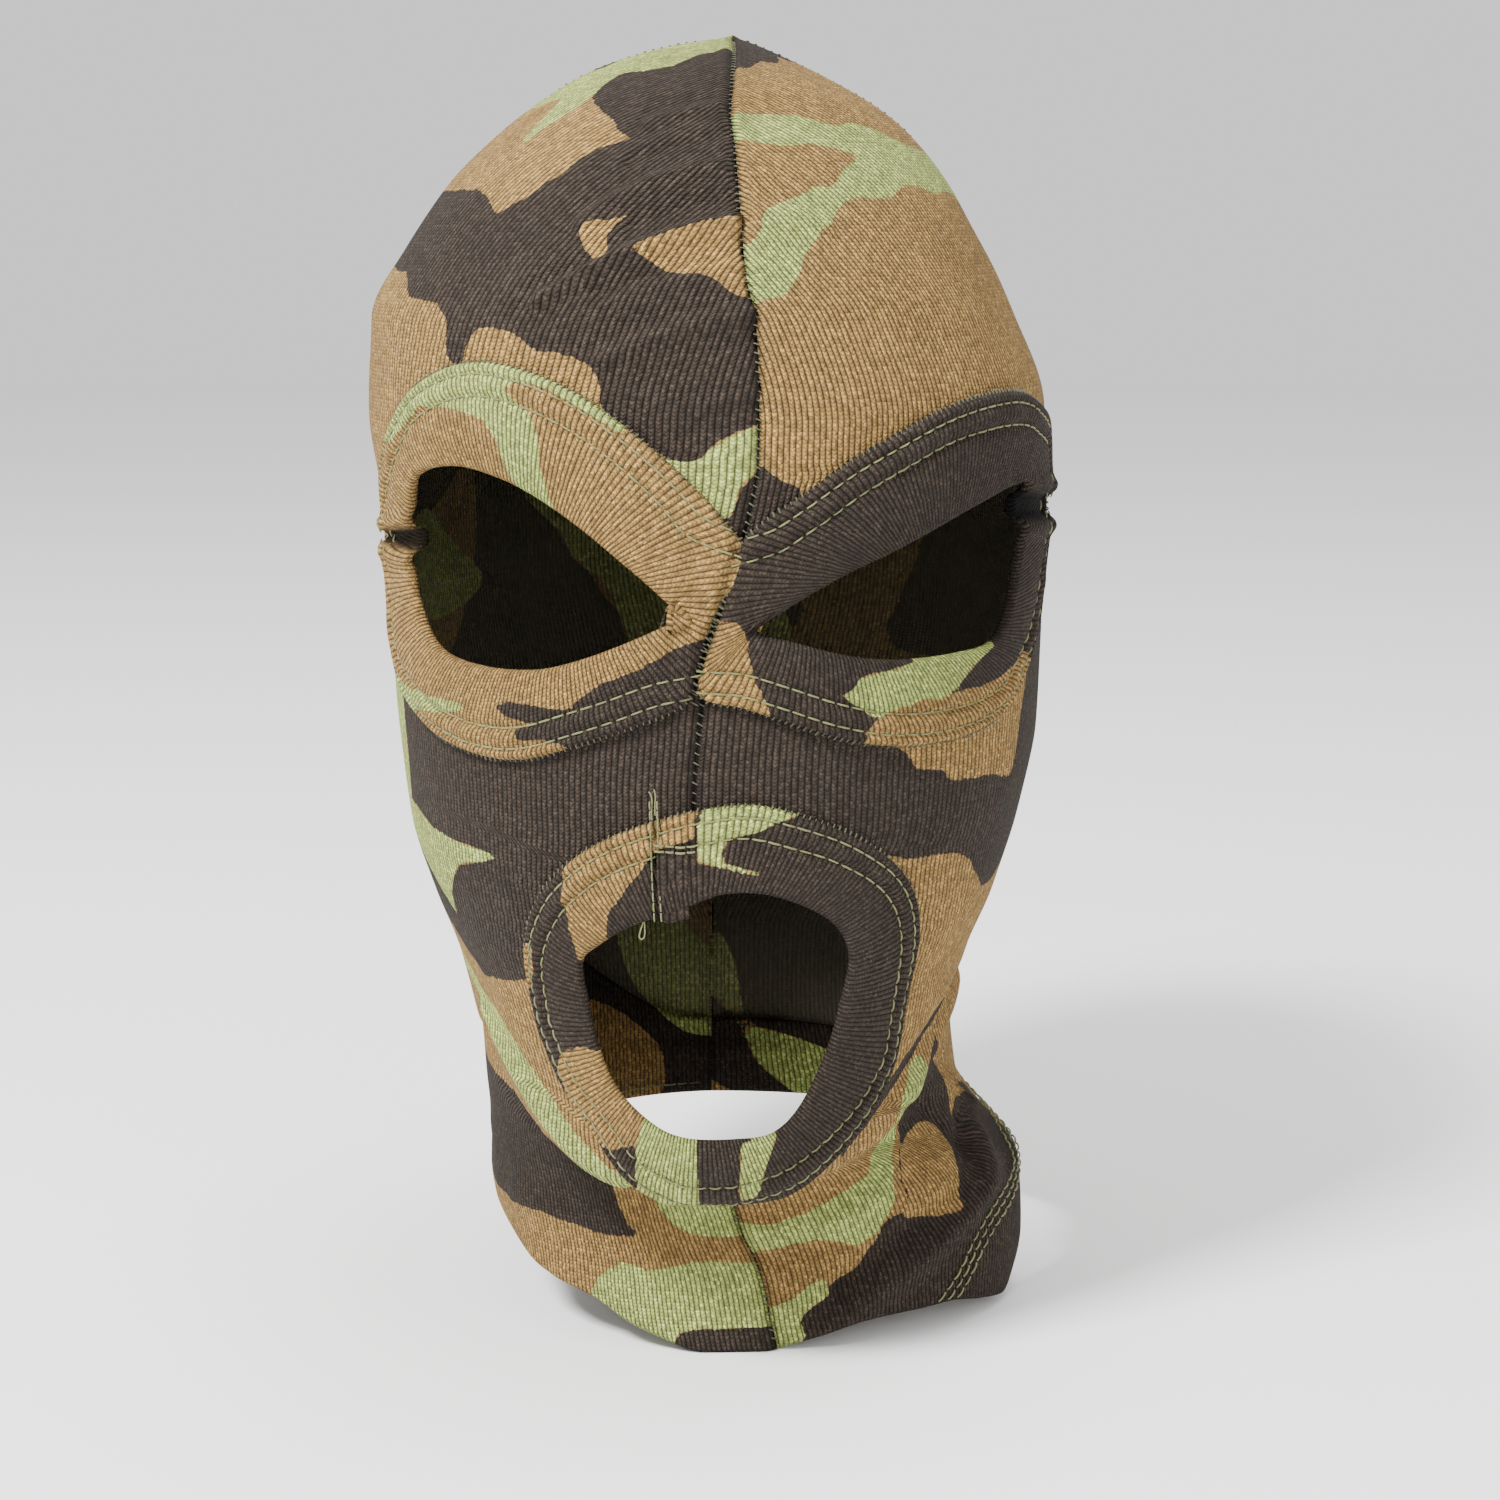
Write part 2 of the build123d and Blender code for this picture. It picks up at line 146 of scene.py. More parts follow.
HEIGHT = PROFILE[:, 0] * TALL
MEAN_WIDTH = (PROFILE[:, 1] + PROFILE[:, 2]) / 2 * HALF
V_KNOTS = HEIGHT.copy()
for i in range(1, len(HEIGHT)):
    if PROFILE[i, 0] > CROWN_START + 1e-6:
        V_KNOTS[i] = V_KNOTS[i - 1] + math.hypot(
            HEIGHT[i] - HEIGHT[i - 1], MEAN_WIDTH[i] - MEAN_WIDTH[i - 1]
        )
V_TOP = V_KNOTS[-1]


def profile(column, v):
    return smooth_curve(V_KNOTS, PROFILE[:, column], v)


def head_point(theta, v):
    """The cloth's outer face on the head, in millimetres."""
    theta, v = np.broadcast_arrays(np.asarray(theta, float), np.asarray(v, float))
    side = np.abs((theta + 180) % 360 - 180)
    jaw = JAW_RISE * np.clip(side / JAW_SIDE, 0, 1) ** 2 * np.clip(1 - (v - JAW_LEVEL) / JAW_FADE, 0, 1)
    jaw = jaw * np.clip(v / NECK_FADE, 0, 1)
    a = np.radians(theta)
    s, c = np.sin(a), np.cos(a)
    x = np.sign(s) * np.abs(s) ** (2 / SQUARE)
    y = np.abs(c) ** (2 / SQUARE)
    x = np.where(x > 0, profile(2, v), profile(1, v)) * HALF * x + profile(5, v) * HALF
    y = np.where(c > 0, -profile(3, v - jaw) * FRONT, profile(4, v) * BACK) * y
    z = np.where(v < 0, v, smooth_curve(V_KNOTS, HEIGHT, v))
    return np.stack([x, y, z], -1)


def head_normal(theta, v):
    """The direction straight out of the cloth."""
    v = np.clip(v, 1.0, V_TOP - 2.0)
    d_theta = head_point(theta + 1.2, v) - head_point(theta - 1.2, v)
    d_v = head_point(theta, v + 1.2) - head_point(theta, v - 1.2)
    n = np.cross(d_theta, d_v)
    return n / np.maximum(np.linalg.norm(n, axis=-1, keepdims=True), 1e-9)


# The centre seam wanders where the mask is pulled on: (v, theta).
SEAM = np.array([
    (0, 11), (5, 10), (17, 8), (27, 5), (42, 2.5), (60, 1), (90, -0.5), (131, -0.8),
    (150, 0), (160, 0.3), (170, 2), (180, 4.3), (190, 6), (200, 7.2), (220, 7.5),
    (230, 7.3), (240, 5.5), (250, 4.5), (260, 3.5), (270, 2.5), (285, 0.5), (300, 0.5),
    (320, 3), (V_TOP, 5),
])
# The lowest line of the cloth round the neck: (theta, v).
HEM_FOLD = np.array([
    (-180, 26), (-150, 25), (-120, 24), (-90, 23), (-75, 22), (-64, 19), (-50, 13.5),
    (-28, 10), (-19, 6), (-10, 3), (0, 0), (8, 0), (16, 2.2), (27, 5), (47, 5.5),
    (60, 3), (70, 1), (80, 8), (90, 22), (98, 29), (110, 30), (130, 27), (150, 26),
    (180, 26),
])
TUCK = 25  # how much cloth is rolled under, from the throat round the wearer's right


def seam_angle(v):
    return smooth_curve(SEAM[:, 0], SEAM[:, 1], v)


def hem_fold(theta):
    """How high the lowest visible line of the cloth hangs."""
    return smooth_curve(HEM_FOLD[:, 0], HEM_FOLD[:, 1], theta)


def hem_tuck(theta):
    """How much cloth is rolled under there, before the hem's own edge."""
    return TUCK * (1 - smooth_step(20, 46, theta)) * smooth_step(-178, -120, theta)


# ---- Outlines on the cloth, as (theta, v) -----------------------------------------------

RIGHT_EYE_OUTER = [
    (5.2, 184.5), (2.7, 189.5), (-1.4, 197.7), (-8, 206.7), (-15.2, 213.6), (-23.4, 218.3), (-33, 220.7),
    (-41.7, 219.2), (-51, 214), (-57.5, 207), (-66, 195.5), (-69, 184), (-70, 169), (-69, 155.5),
    (-64, 148), (-57, 143.5), (-48, 139.8), (-37, 138), (-28, 138.8), (-18.7, 142.5), (-8.7, 147.3),
    (-1.5, 152.6), (0.6, 165), (2.8, 173.3), (4.8, 177.4),
]
RIGHT_EYE_HOLE = [
    (-52, 192.8), (-47.5, 197.5), (-39.5, 199.2), (-33, 198.2), (-25.7, 195), (-17.4, 188.3),
    (-8.3, 178.4), (-3.6, 172.2), (-2, 170.2), (-5.6, 167.4), (-11.4, 163.7), (-18.2, 160.3),
    (-25.5, 158), (-36, 157.6), (-46.5, 159.6), (-52, 165.2), (-55, 175.6),
]
LEFT_EYE_OUTER = [
    (4.5, 184.5), (7.6, 189), (13.3, 194.5), (21, 201.3), (29.8, 207), (38, 211), (47.8, 213.2),
    (58, 213.4), (66, 211), (76, 204.5), (78, 187), (73, 174.5), (69, 162), (61, 150.5), (55.5, 145),
    (46.7, 142), (36.7, 141), (26.9, 141.7), (18.2, 144.4), (10.4, 148.2), (5, 150.9), (-0.2, 153.2),
    (0.3, 161), (1.8, 169), (3.6, 180.7),
]
LEFT_EYE_HOLE = [
    (6.6, 167.6), (11.8, 172.4), (19.5, 178), (29.9, 183.4), (42.7, 189.6), (55.5, 193.8), (60, 193.2),
    (59.2, 185.7), (57.5, 177.2), (54.5, 167), (49.8, 161), (40.7, 159.8), (30, 159.7), (21.3, 161),
    (13.4, 164),
]
MOUTH_OUTER = [
    (0.4, 130), (6.8, 130.8), (14.5, 128), (23.2, 123.2), (32.3, 115.5), (38, 106.8), (41.3, 95.7),
    (43, 83.8), (42.5, 70), (35, 59), (24.5, 50), (15.3, 44), (5, 41), (-5, 41.5), (-16, 48), (-24, 58.5),
    (-31, 67.5), (-35.2, 79), (-35.3, 92), (-33, 100.8), (-28, 110), (-21, 118), (-14, 123.5),
    (-6.2, 127.5),
]
MOUTH_HOLE = [
    (-1.5, 109.7), (2.7, 112.2), (8.7, 112), (15.3, 109), (21.2, 104.3), (25, 97), (25.5, 87),
    (23.8, 76.5), (19, 65.7), (12.8, 59.5), (5.2, 58.5), (-2.7, 58.8), (-9, 61.5), (-16.5, 68.5),
    (-20, 77), (-21.2, 88), (-21, 96.5), (-17.5, 100.3), (-11, 105), (-4.5, 108),
]

TAN, DARK, GREEN = 0, 1, 2

# Each patch is printed over the ones before it.
RIGHT_PATCHES = [
    (DARK, [
        (8, 330), (-20, 330), (-60, 330), (-100, 330), (-100, 303), (-70, 304), (-60, 309), (-30, 306),
        (-15, 309), (-2, 313), (8, 313),
    ]),
    (GREEN, [
        (8, 330), (-100, 330), (-100, 282), (-80, 283), (-66, 287.5), (-58, 288.5), (-56, 286.5),
        (-54, 281), (-53.5, 275), (-51, 272.5), (-50, 275), (-48, 279), (-44, 283.5), (-42, 287),
        (-42, 294), (-41, 299), (-30, 301), (-22, 302.5), (-15, 309), (-2, 313), (8, 315),
    ]),
    (DARK, [(-66, 303), (-82, 302), (-100, 303), (-100, 309), (-82, 308), (-70, 307)]),
    (DARK, [
        (8, 314), (-2, 313), (-15, 309), (-22, 302.5), (-30, 301), (-41, 299), (-42, 294), (-41, 288),
        (-36, 285), (-30, 281.5), (-27, 280), (-24, 276.5), (-19, 274.3), (-22, 272.5), (-25, 271.5),
        (-29, 267.5), (-31, 263.5), (-34, 261.5), (-36.5, 258), (-40, 256), (-42, 254), (-43, 254),
        (-46, 256.5), (-49, 258.5), (-54, 260), (-60, 260), (-84, 260), (-86, 241), (-80, 241),
        (-70, 240), (-64, 240), (-61, 238), (-56, 234), (-51, 233.5), (-47, 233), (-45, 231.5),
        (-43, 229.5), (-43, 224), (-42, 221.5), (-40.5, 220), (-38.5, 220.5), (-38, 223.5), (-37, 226),
        (-36, 228), (-33, 228), (-30, 227.5), (-27.5, 226), (-25.5, 224), (-23.5, 223), (-21, 223),
        (-17.8, 222), (-15.5, 220.5), (-14, 218), (-13.5, 215), (-13, 210.5), (-12, 200), (10, 180),
        (10, 314),
    ]),
    (TAN, [
        (-22, 251), (-19.5, 252.3), (-16, 253), (-13.5, 254), (-15.5, 251.5), (-16.8, 249), (-16, 246),
        (-15.3, 244), (-18, 243.8), (-20, 246), (-21.5, 248.5),
    ]),
    (TAN, [
        (8, 252.5), (4, 252.5), (-2, 250.5), (-6, 248.7), (-10, 246.5), (-12, 245), (-9.5, 244),
        (-6.8, 242), (-4, 240.3), (-0.5, 239.8), (2, 237.7), (4, 235.5), (8, 235),
    ]),
    (GREEN, [
        (-12.6, 210), (-10.5, 209), (-8.7, 206.7), (-6.6, 204), (-4, 201.8), (-2, 201.2), (0, 201.5),
        (0.7, 203.5), (1.8, 205), (3.6, 206.7), (9.5, 210), (9.5, 202), (4.8, 196.3), (3.6, 190),
        (-2, 190), (-12, 198),
    ]),
    (DARK, [
        (10, 185), (-5, 180), (-60, 150), (-72, 150), (-100, 146), (-100, 108), (-74, 98), (-62, 90),
        (-55, 86), (-48, 87), (-42, 88), (-37, 89.5), (-30, 80), (10, 80),
    ]),
    (GREEN, [(-68, 152), (-110, 158), (-110, 112), (-72, 110), (-69, 128)]),
    (GREEN, [
        (-74, 122), (-66, 121), (-58, 118), (-50, 117.5), (-42, 117), (-37, 116.3), (-44, 114),
        (-50, 112), (-54, 108), (-57, 104), (-58, 99), (-66, 106), (-76, 112),
    ]),
    (GREEN, [
        (-70, 88), (-64, 84), (-60, 80), (-54, 78), (-49, 74), (-42, 67), (-36, 62), (-30, 56), (-22, 50),
        (-12, 45), (-8, 40), (-12, 40), (-22, 43.5), (-30, 49), (-36, 54), (-44, 59), (-52, 66),
        (-60, 74), (-70, 82),
    ]),
    (DARK, [
        (-110, 62), (-80, 58), (-57, 54), (-48, 51), (-36, 48.5), (-29.5, 46), (-25, 42), (-22.5, 38.5),
        (-20.5, 33), (-18, 28), (-12, 23.5), (-9, 23), (-15, 25), (-24, 25), (-32, 26), (-44, 27.5),
        (-60, 26.5), (-75, 28), (-110, 34),
    ]),
    (GREEN, [
        (-10, 35), (-5, 34), (0, 33), (10, 32.5), (10, 26), (2, 25.5), (-2, 26), (-6, 28), (-9, 31),
        (-10.5, 33),
    ]),
    (GREEN, [
        (-34, -30), (-34, 6), (-30, 10), (-28, 14), (-25, 16.5), (-20, 19), (-13, 18), (-2, 20), (14, 20),
        (14, -30),
    ]),
    (DARK, [(-7, -30), (-7, 1), (-6.5, 3), (-5.5, 4.5), (-2, 5.5), (14, 6), (14, -30)]),
]
LEFT_PATCHES = [
    (GREEN, [
        (-4, 281.3), (10, 281.5), (16, 281.3), (20.5, 281), (25, 280), (28, 279), (32, 278), (35, 278.5),
        (40, 279), (47, 278), (51, 276.8), (54, 275.3), (61, 273), (68, 272), (84, 270), (104, 264),
        (100, 254), (80, 257.5), (70, 259.5), (59, 259), (55.5, 260.5), (51, 261), (47, 261),
        (43.5, 259.5), (40, 257.5), (35.5, 257.5), (30.5, 258), (28, 257.5), (26, 256), (23, 253),
        (22.5, 251), (20, 249.8), (17.5, 246.5), (15.8, 243.5), (14.3, 239.5), (13, 237), (11.5, 235),
        (8.7, 234.2), (2, 233.5), (2, 247), (6.5, 247), (8, 250.3), (8, 253), (9, 255), (12, 256.5),
        (16, 258.3), (19, 260), (21.5, 260.5), (24, 260.2), (26.5, 262), (28.5, 264.7), (34, 268),
        (36, 269.5), (31.5, 270.3), (28, 271.3), (22.5, 272), (17.5, 272), (13, 271.5), (8.5, 272.5),
        (5, 273), (-4, 273.5),
    ]),
    (DARK, [
        (-4, V_TOP), (-4, 300), (8, 301), (20, 305), (34, 304), (50, 309), (70, 306), (100, 312),
        (140, 312), (140, V_TOP),
    ]),
    (DARK, [
        (7.5, 200.5), (9, 199), (10.5, 197.5), (12.5, 196.5), (14, 194.5), (8, 186), (0, 184), (0, 200.5),
    ]),
    (DARK, [
        (-6, 160), (20, 150), (32, 139.5), (34, 136), (35.5, 135.5), (39.5, 135), (41.5, 132.5),
        (43, 132), (48, 131.5), (54, 131), (62, 129), (63, 133), (66, 150), (70, 178), (84, 182),
        (112, 172), (118, 140), (104, 112), (88, 104), (78, 107), (68, 104), (64, 104), (61, 104.5),
        (57, 108), (53, 112.5), (48, 115), (42, 116), (36, 116), (29, 118), (20, 110), (-6, 110),
    ]),
    # a narrow dark strip along the fold under the jaw: dark print, with the fold's painted shadow in it
    (DARK, [
        (28, 49), (39, 58.5), (50, 65.5), (60, 71), (75, 76.5), (92, 82), (75, 81), (60, 76.5),
        (50, 70.5), (39, 63), (28, 54),
    ]),
    (GREEN, [
        (0, 29), (4, 29), (10, 28.5), (16, 31), (24, 34.5), (30, 37.5), (33, 41), (40, 49), (44, 54),
        (47, 60), (52, 66), (55, 67), (57, 64), (57.5, 58), (53, 57), (50, 57), (47, 56), (45, 50),
        (40, 44), (35, 36), (31, 28), (28.5, 24), (25, 22.5), (17, 24.5), (11, 23), (5.3, 21.5), (0, 20),
    ]),
    # the dark area over the neck below the jaw on the wearer's left, down to the hem: dark print, with
    # painted shade where the neck lies in shadow
    (DARK, [
        (31, 27.5), (35, 29), (37, 35), (39, 39), (41, 42), (46, 50), (47, 55), (54, 59), (58, 65),
        (62, 69), (64, 62), (66, 55), (68, 48), (66, 44), (72, 48), (80, 47), (110, 44), (110, -30),
        (8, -30), (9.3, 5), (9.3, 9.5), (13, 12), (19, 13.5), (25, 17), (29, 23.5),
    ]),
    (TAN, [
        (35, 27.5), (38, 36), (41, 42), (48, 46), (51.5, 47), (55, 46.5), (58, 44.5), (57, 40), (55, 36),
        (51, 31), (50, 26.5), (44, 26), (39.8, 26.5),
    ]),
    (GREEN, [
        (9.3, 9.5), (12.3, 11), (16.5, 15), (19, 15.3), (19.7, 12.3), (16.5, 9.5), (14.5, 7), (15.5, 3.5),
        (14, -6), (10, -6), (9.2, 4),
    ]),
    (GREEN, [
        (0, 20.5), (5.3, 21.5), (7.5, 15), (7.8, 10), (6.8, 7), (5.5, 4.7), (3, 2.5), (2.2, 5.8), (0, 6),
    ]),
    (DARK, [(0, 6), (2.2, 5.8), (3, 2.5), (5.5, 4.7), (7.5, 7.3), (9.2, 9.5), (9.3, -30), (0, -30)]),
]
RIGHT_BAND_PATCHES = [
    (GREEN, [
        (-60, 203), (-56, 209), (-51, 217), (-42, 223), (-33, 224), (-23, 222), (-15, 217), (-8, 210),
        (-10, 207), (-16, 212), (-22, 216), (-27, 217), (-28, 215), (-26, 212), (-23.5, 210),
        (-22.7, 207), (-22.3, 201), (-21.5, 195.7), (-20, 188), (-26, 192.5), (-28.7, 201), (-30, 206),
        (-32, 209), (-37, 211), (-46.5, 211), (-49.5, 208), (-56, 203),
    ]),
    (GREEN, [
        (-72, 152), (-60, 150), (-52, 149), (-42, 149.5), (-40, 148.5), (-45, 146.5), (-56, 145.5),
        (-57, 143), (-52, 138), (-60, 139), (-70, 147),
    ]),
    (DARK, [
        (1.5, 166), (-3, 163.5), (-9, 158.5), (-14, 156), (-17, 153), (-19, 150.5), (-24, 150.5),
        (-30, 151), (-33.5, 149.7), (-31, 147.8), (-26, 146.8), (-29.5, 145), (-29, 143), (-24, 143.5),
        (-20.5, 142.8), (-19.5, 138), (-8, 142), (2, 150),
    ]),
]
LEFT_BAND_PATCHES = [
    (DARK, [(-20, 100), (110, 100), (110, 240), (-20, 240)]),
    (TAN, [
        (1.5, 169), (3.5, 169.5), (5, 168), (5.8, 165), (5.8, 161.5), (6.5, 157), (8, 153), (8.9, 150),
        (8.9, 146), (-2, 150), (-2, 161),
    ]),
    (GREEN, [
        (19.3, 153.2), (21, 154.5), (22, 156.7), (24.5, 157.3), (28, 158), (31.3, 159), (33, 161.3),
        (40, 161), (44, 161.5), (50, 164), (50.5, 162.5), (49, 160), (45.5, 158), (42.8, 155.8),
        (40.3, 153), (38, 151.3), (35, 150), (31.5, 150), (29, 149), (26.5, 148.3), (24, 148.5),
        (22.8, 150), (20.5, 152),
    ]),
    (TAN, [
        (24, 146), (25, 148), (29, 149.5), (33, 151), (37, 151), (40, 152), (44.5, 152), (48, 152.5),
        (52, 153.5), (57, 155.5), (60, 157), (66, 153), (62, 138), (40, 135), (22, 137),
    ]),
]
MOUTH_PATCHES = [
    (DARK, [(-60, 20), (70, 20), (70, 150), (-60, 150)]),
    (GREEN, [
        (0.4, 133), (15, 132), (14, 129), (9.5, 127), (7.4, 125.5), (3.2, 124), (2.3, 121), (2.8, 119),
        (7.4, 117), (7.5, 116.3), (3.2, 118), (0, 119), (-0.5, 119.5), (-0.4, 124),
    ]),
    (GREEN, [(6.3, 57.5), (13.5, 61), (11, 54), (9.8, 48.5), (8.5, 45.5), (6, 45.5), (5.8, 47)]),
    (GREEN, [(-12.5, 65), (-1, 60), (-0.8, 50), (-0.6, 43), (-3, 40), (-13, 43), (-12.8, 52)]),
    (TAN, [
        (-29, 76), (-22.5, 78.5), (-18.5, 76.5), (-15.3, 69), (-11, 64), (-12.5, 57.5), (-16, 56),
        (-19.5, 55), (-23, 57), (-28, 63), (-30.5, 70),
    ]),
    (TAN, [(-32, 99), (-30.5, 98.5), (-31.5, 94), (-34, 89), (-37, 90), (-36, 96)]),
    (TAN, [
        (-21.5, 118.3), (-16.3, 124), (-10.5, 128), (-5.2, 130), (-0.5, 130.5), (-0.8, 124.5),
        (-5.2, 122), (-7, 120), (-9.3, 116), (-11.7, 112), (-14.3, 108), (-15.2, 101.5), (-14.8, 99),
        (-19, 95), (-21, 97), (-21.8, 104), (-22.5, 110), (-22.3, 113),
    ]),
]

# Wrinkles: where each runs, how high and how wide it stands, in millimetres.
RIGHT_WRINKLES = [
    ([(-1.5, 284), (-9, 282), (-17, 279)], 1.5, 2.4),
    ([(0, 275), (-9, 272), (-17, 268)], -1.2, 2.4),
    ([(0, 265.5), (-4, 265), (-12, 261), (-17, 257.5), (-22, 252)], 2.0, 2.4),
    ([(2, 258.5), (-6, 256), (-13, 252)], -1.5, 2.2),
    ([(4, 252.5), (-2, 250.5), (-10, 246.5), (-15, 243), (-19, 239), (-25, 234)], 3.4, 2.0),
    ([(5, 246), (-2, 243.5), (-9, 240), (-15, 236)], -1.6, 2.2),
    ([(7, 232), (-1, 229.5), (-5, 227), (-10, 224), (-14, 221)], 2.4, 2.2),
    ([(7, 226), (0, 223), (-7, 219)], -1.3, 2.2),
    ([(7, 216), (0, 213), (-6, 209)], 1.2, 2.4),
    ([(-62, 74), (-50, 66), (-38, 56), (-28, 49), (-18, 44)], 2.0, 3.5),
    ([(-70, 66), (-58, 58), (-45, 50)], -1.4, 4.0),
    ([(-58, 30), (-40, 27), (-22, 24)], 0.8, 5.0),
    ([(-40, 14), (-20, 12), (0, 9)], 0.7, 5.0),
]
LEFT_WRINKLES = [
    ([(4, 254.5), (8, 254), (16, 253), (22, 251)], 0.9, 2.4),
    ([(2, 264), (10, 264)], 0.6, 2.4),
    ([(7, 245), (12, 245), (17, 247)], -0.8, 2.2),
    ([(86, 81), (74, 77), (60, 72), (50, 66), (40, 58), (30, 50)], -1.6, 3.2),
    ([(84, 74), (70, 70), (58, 64), (48, 57)], 1.6, 3.5),
    ([(6, 27), (20, 28), (32, 34), (42, 45)], 1.5, 3.2),
    ([(8, 21), (20, 22), (30, 27)], -1.2, 3.0),
    ([(22, 14), (27, 19), (36, 24), (48, 28), (58, 34), (68, 42)], -3.0, 3.6),
    ([(16, 0), (26, 9), (38, 17), (54, 28), (66, 36), (80, 43)], 2.6, 4.2),
    ([(48, 56), (56, 48), (62, 40)], -1.6, 3.4),
    ([(60, 56), (72, 50), (84, 44)], 1.8, 3.6),
    ([(10, 8), (18, 13)], 1.0, 3.0),
]

# Pinches in a band: the line across it from the opening, and how far the crease gapes at each end.
RIGHT_PINCH = ([(-52, 182.5), (-72, 181)], 6.8, 1.6)
LEFT_PINCH = ([(58, 189), (80, 186.5)], 7.2, 5.6)


FINE = 1600  # steps along a closed line before it is spaced out evenly


def closed_curve(points, count):
    """A smooth closed line through the points, evenly spaced on the cloth."""
    p = np.array(points, float) * (ACROSS, 1)
    n = len(p)
    t = np.arange(0, n, n / FINE)
    k = t.astype(int)
    f = (t - k)[:, None]
    a, b, c, d = (p[(k + j) % n] for j in (-1, 0, 1, 2))
    q = 0.5 * (2 * b + (c - a) * f + (2 * a - 5 * b + 4 * c - d) * f**2 + (3 * b - a - 3 * c + d) * f**3)
    q = np.vstack([q, q[:1]])
    length = np.concatenate([[0], np.cumsum(np.linalg.norm(np.diff(q, axis=0), axis=1))])
    at = np.linspace(0, length[-1], count, endpoint=False)
    return np.stack([np.interp(at, length, q[:, j]) for j in (0, 1)], -1)


def depth_inside(outline, s, v):
    """Distance in from the outline's edge; below zero outside it."""
    p = np.asarray(outline, float)
    q = np.roll(p, -1, axis=0)
    best = np.full(s.shape, 1e9)
    inside = np.zeros(s.shape, bool)
    for (x0, y0), (x1, y1) in zip(p, q):
        dx, dy = x1 - x0, y1 - y0
        t = np.clip(((s - x0) * dx + (v - y0) * dy) / max(dx * dx + dy * dy, 1e-9), 0, 1)
        best = np.minimum(best, (s - x0 - t * dx) ** 2 + (v - y0 - t * dy) ** 2)
        if abs(dy) > 1e-9:
            inside ^= ((y0 > v) != (y1 > v)) & (s < x0 + (v - y0) / dy * dx)
    return np.where(inside, 1, -1) * np.sqrt(best)


def distance_to_line(line, s, v):
    """Distance to an open line given as (theta, v) places."""
    p = np.array(line, float) * (ACROSS, 1)
    best = np.full(s.shape, 1e9)
    for (x0, y0), (x1, y1) in zip(p[:-1], p[1:]):
        dx, dy = x1 - x0, y1 - y0
        t = np.clip(((s - x0) * dx + (v - y0) * dy) / (dx * dx + dy * dy), 0, 1)
        best = np.minimum(best, np.hypot(s - x0 - t * dx, v - y0 - t * dy))
    return best


SWIRL_WAVES = ((0.3, 1.0), (1.4, 1.3), (2.5, 0.8), (0.9, 1.9))  # each wave's direction and how fine it is


def swirl(s, v, turn, size, phase):
    """Soft blotches, about size millimetres across."""
    total = np.zeros(s.shape)
    for k, (a, f) in enumerate(SWIRL_WAVES):
        a += turn
        x = s * math.cos(a) + v * math.sin(a)
        y = v * math.cos(a) - s * math.sin(a)
        w = 2 * math.pi * f / size
        total += np.sin(w * x + phase * (k + 1) + 1.3 * np.sin(w * 0.7 * y + k)) / len(SWIRL_WAVES)
    return total


PRINT_REACH = 8.0  # distances to a patch's edge are followed this far
BACK_PRINT = (78, 106)  # degrees round: from here to here the drawn patches give way to loose ones
BACK_SQUEEZE = 0.8  # the loose patches are drawn out round the head


def camouflage(patches, theta, v, round_the_back=True):
    """How far each point lies inside its tan, dark and green areas, in millimetres."""
    s = theta * ACROSS
    low, high = -PRINT_REACH, PRINT_REACH
    fields = [np.full(s.shape, high), np.full(s.shape, low), np.full(s.shape, low)]
    for colour, outline in patches:
        d = np.clip(depth_inside(np.array(outline) * (ACROSS, 1), s, v), low, high)
        for k in range(len(fields)):
            fields[k] = np.maximum(fields[k], d) if k == colour else np.minimum(fields[k], -d)
    if round_the_back:
        far = smooth_step(*BACK_PRINT, np.abs(theta))
        dark = 22 * (swirl(s * BACK_SQUEEZE, v, 0.2, 92, 1.1) + 0.08)
        green = 20 * (swirl(s * BACK_SQUEEZE, v, 1.7, 84, 4.0) - 0.30)
        back = [np.minimum(-dark, -green), np.minimum(dark, -green), green]
        fields = [f * (1 - far) + np.clip(b, low, high) * far for f, b in zip(fields, back)]
    return np.stack(fields, -1)


TROUGH = 0.45  # the dip on both sides of a wrinkle, as a share of its height
TROUGH_SPREAD = 6  # how much wider than the wrinkle the dip is, squared


def wrinkles(lines, s, v, depth):
    """How far the folds in the cloth raise it or let it dip."""
    total = np.zeros(s.shape)
    for line, height, width in lines:
        d = distance_to_line(line, s, v) / width
        total += depth * height * (np.exp(-d * d) - TROUGH * np.exp(-d * d / TROUGH_SPREAD))
    return total


# ---- Meshes -----------------------------------------------------------------------------


def grid_faces(rows, columns, closed=False):
    """The four-cornered faces between the places of a grid, which are numbered row by row."""
    index = np.arange(rows * columns).reshape(rows, columns)
    if closed:
        index = np.concatenate([index, index[:, :1]], 1)
    return np.stack([index[:-1, :-1], index[:-1, 1:], index[1:, 1:], index[1:, :-1]], -1).reshape(-1, 4)


def new_object(name, points, faces, attributes, materials, edges=()):
    """A mesh from points in millimetres, with a value for each of them in every attribute."""
    mesh = bpy.data.meshes.new(name)
    mesh.from_pydata((np.asarray(points) * MM).tolist(), list(edges), faces)
    for key, values in attributes.items():
        values = np.asarray(values, np.float32)
        kind, field = ("FLOAT", "value") if values.ndim == 1 else ("FLOAT_VECTOR", "vector")
        mesh.attributes.new(key, kind, "POINT").data.foreach_set(field, values.ravel())
    for material in materials:
        mesh.materials.append(material)
    obj = bpy.data.objects.new(name, mesh)
    bpy.context.scene.collection.objects.link(obj)
    return obj


def bake_modifiers(obj):
    """The shape the modifiers make becomes the object's own plain mesh."""
    graph = bpy.context.evaluated_depsgraph_get()
    mesh = bpy.data.meshes.new_from_object(
        obj.evaluated_get(graph), preserve_all_data_layers=True, depsgraph=graph
    )
    obj.modifiers.clear()
    obj.data = mesh
    mesh.shade_smooth()
    return obj


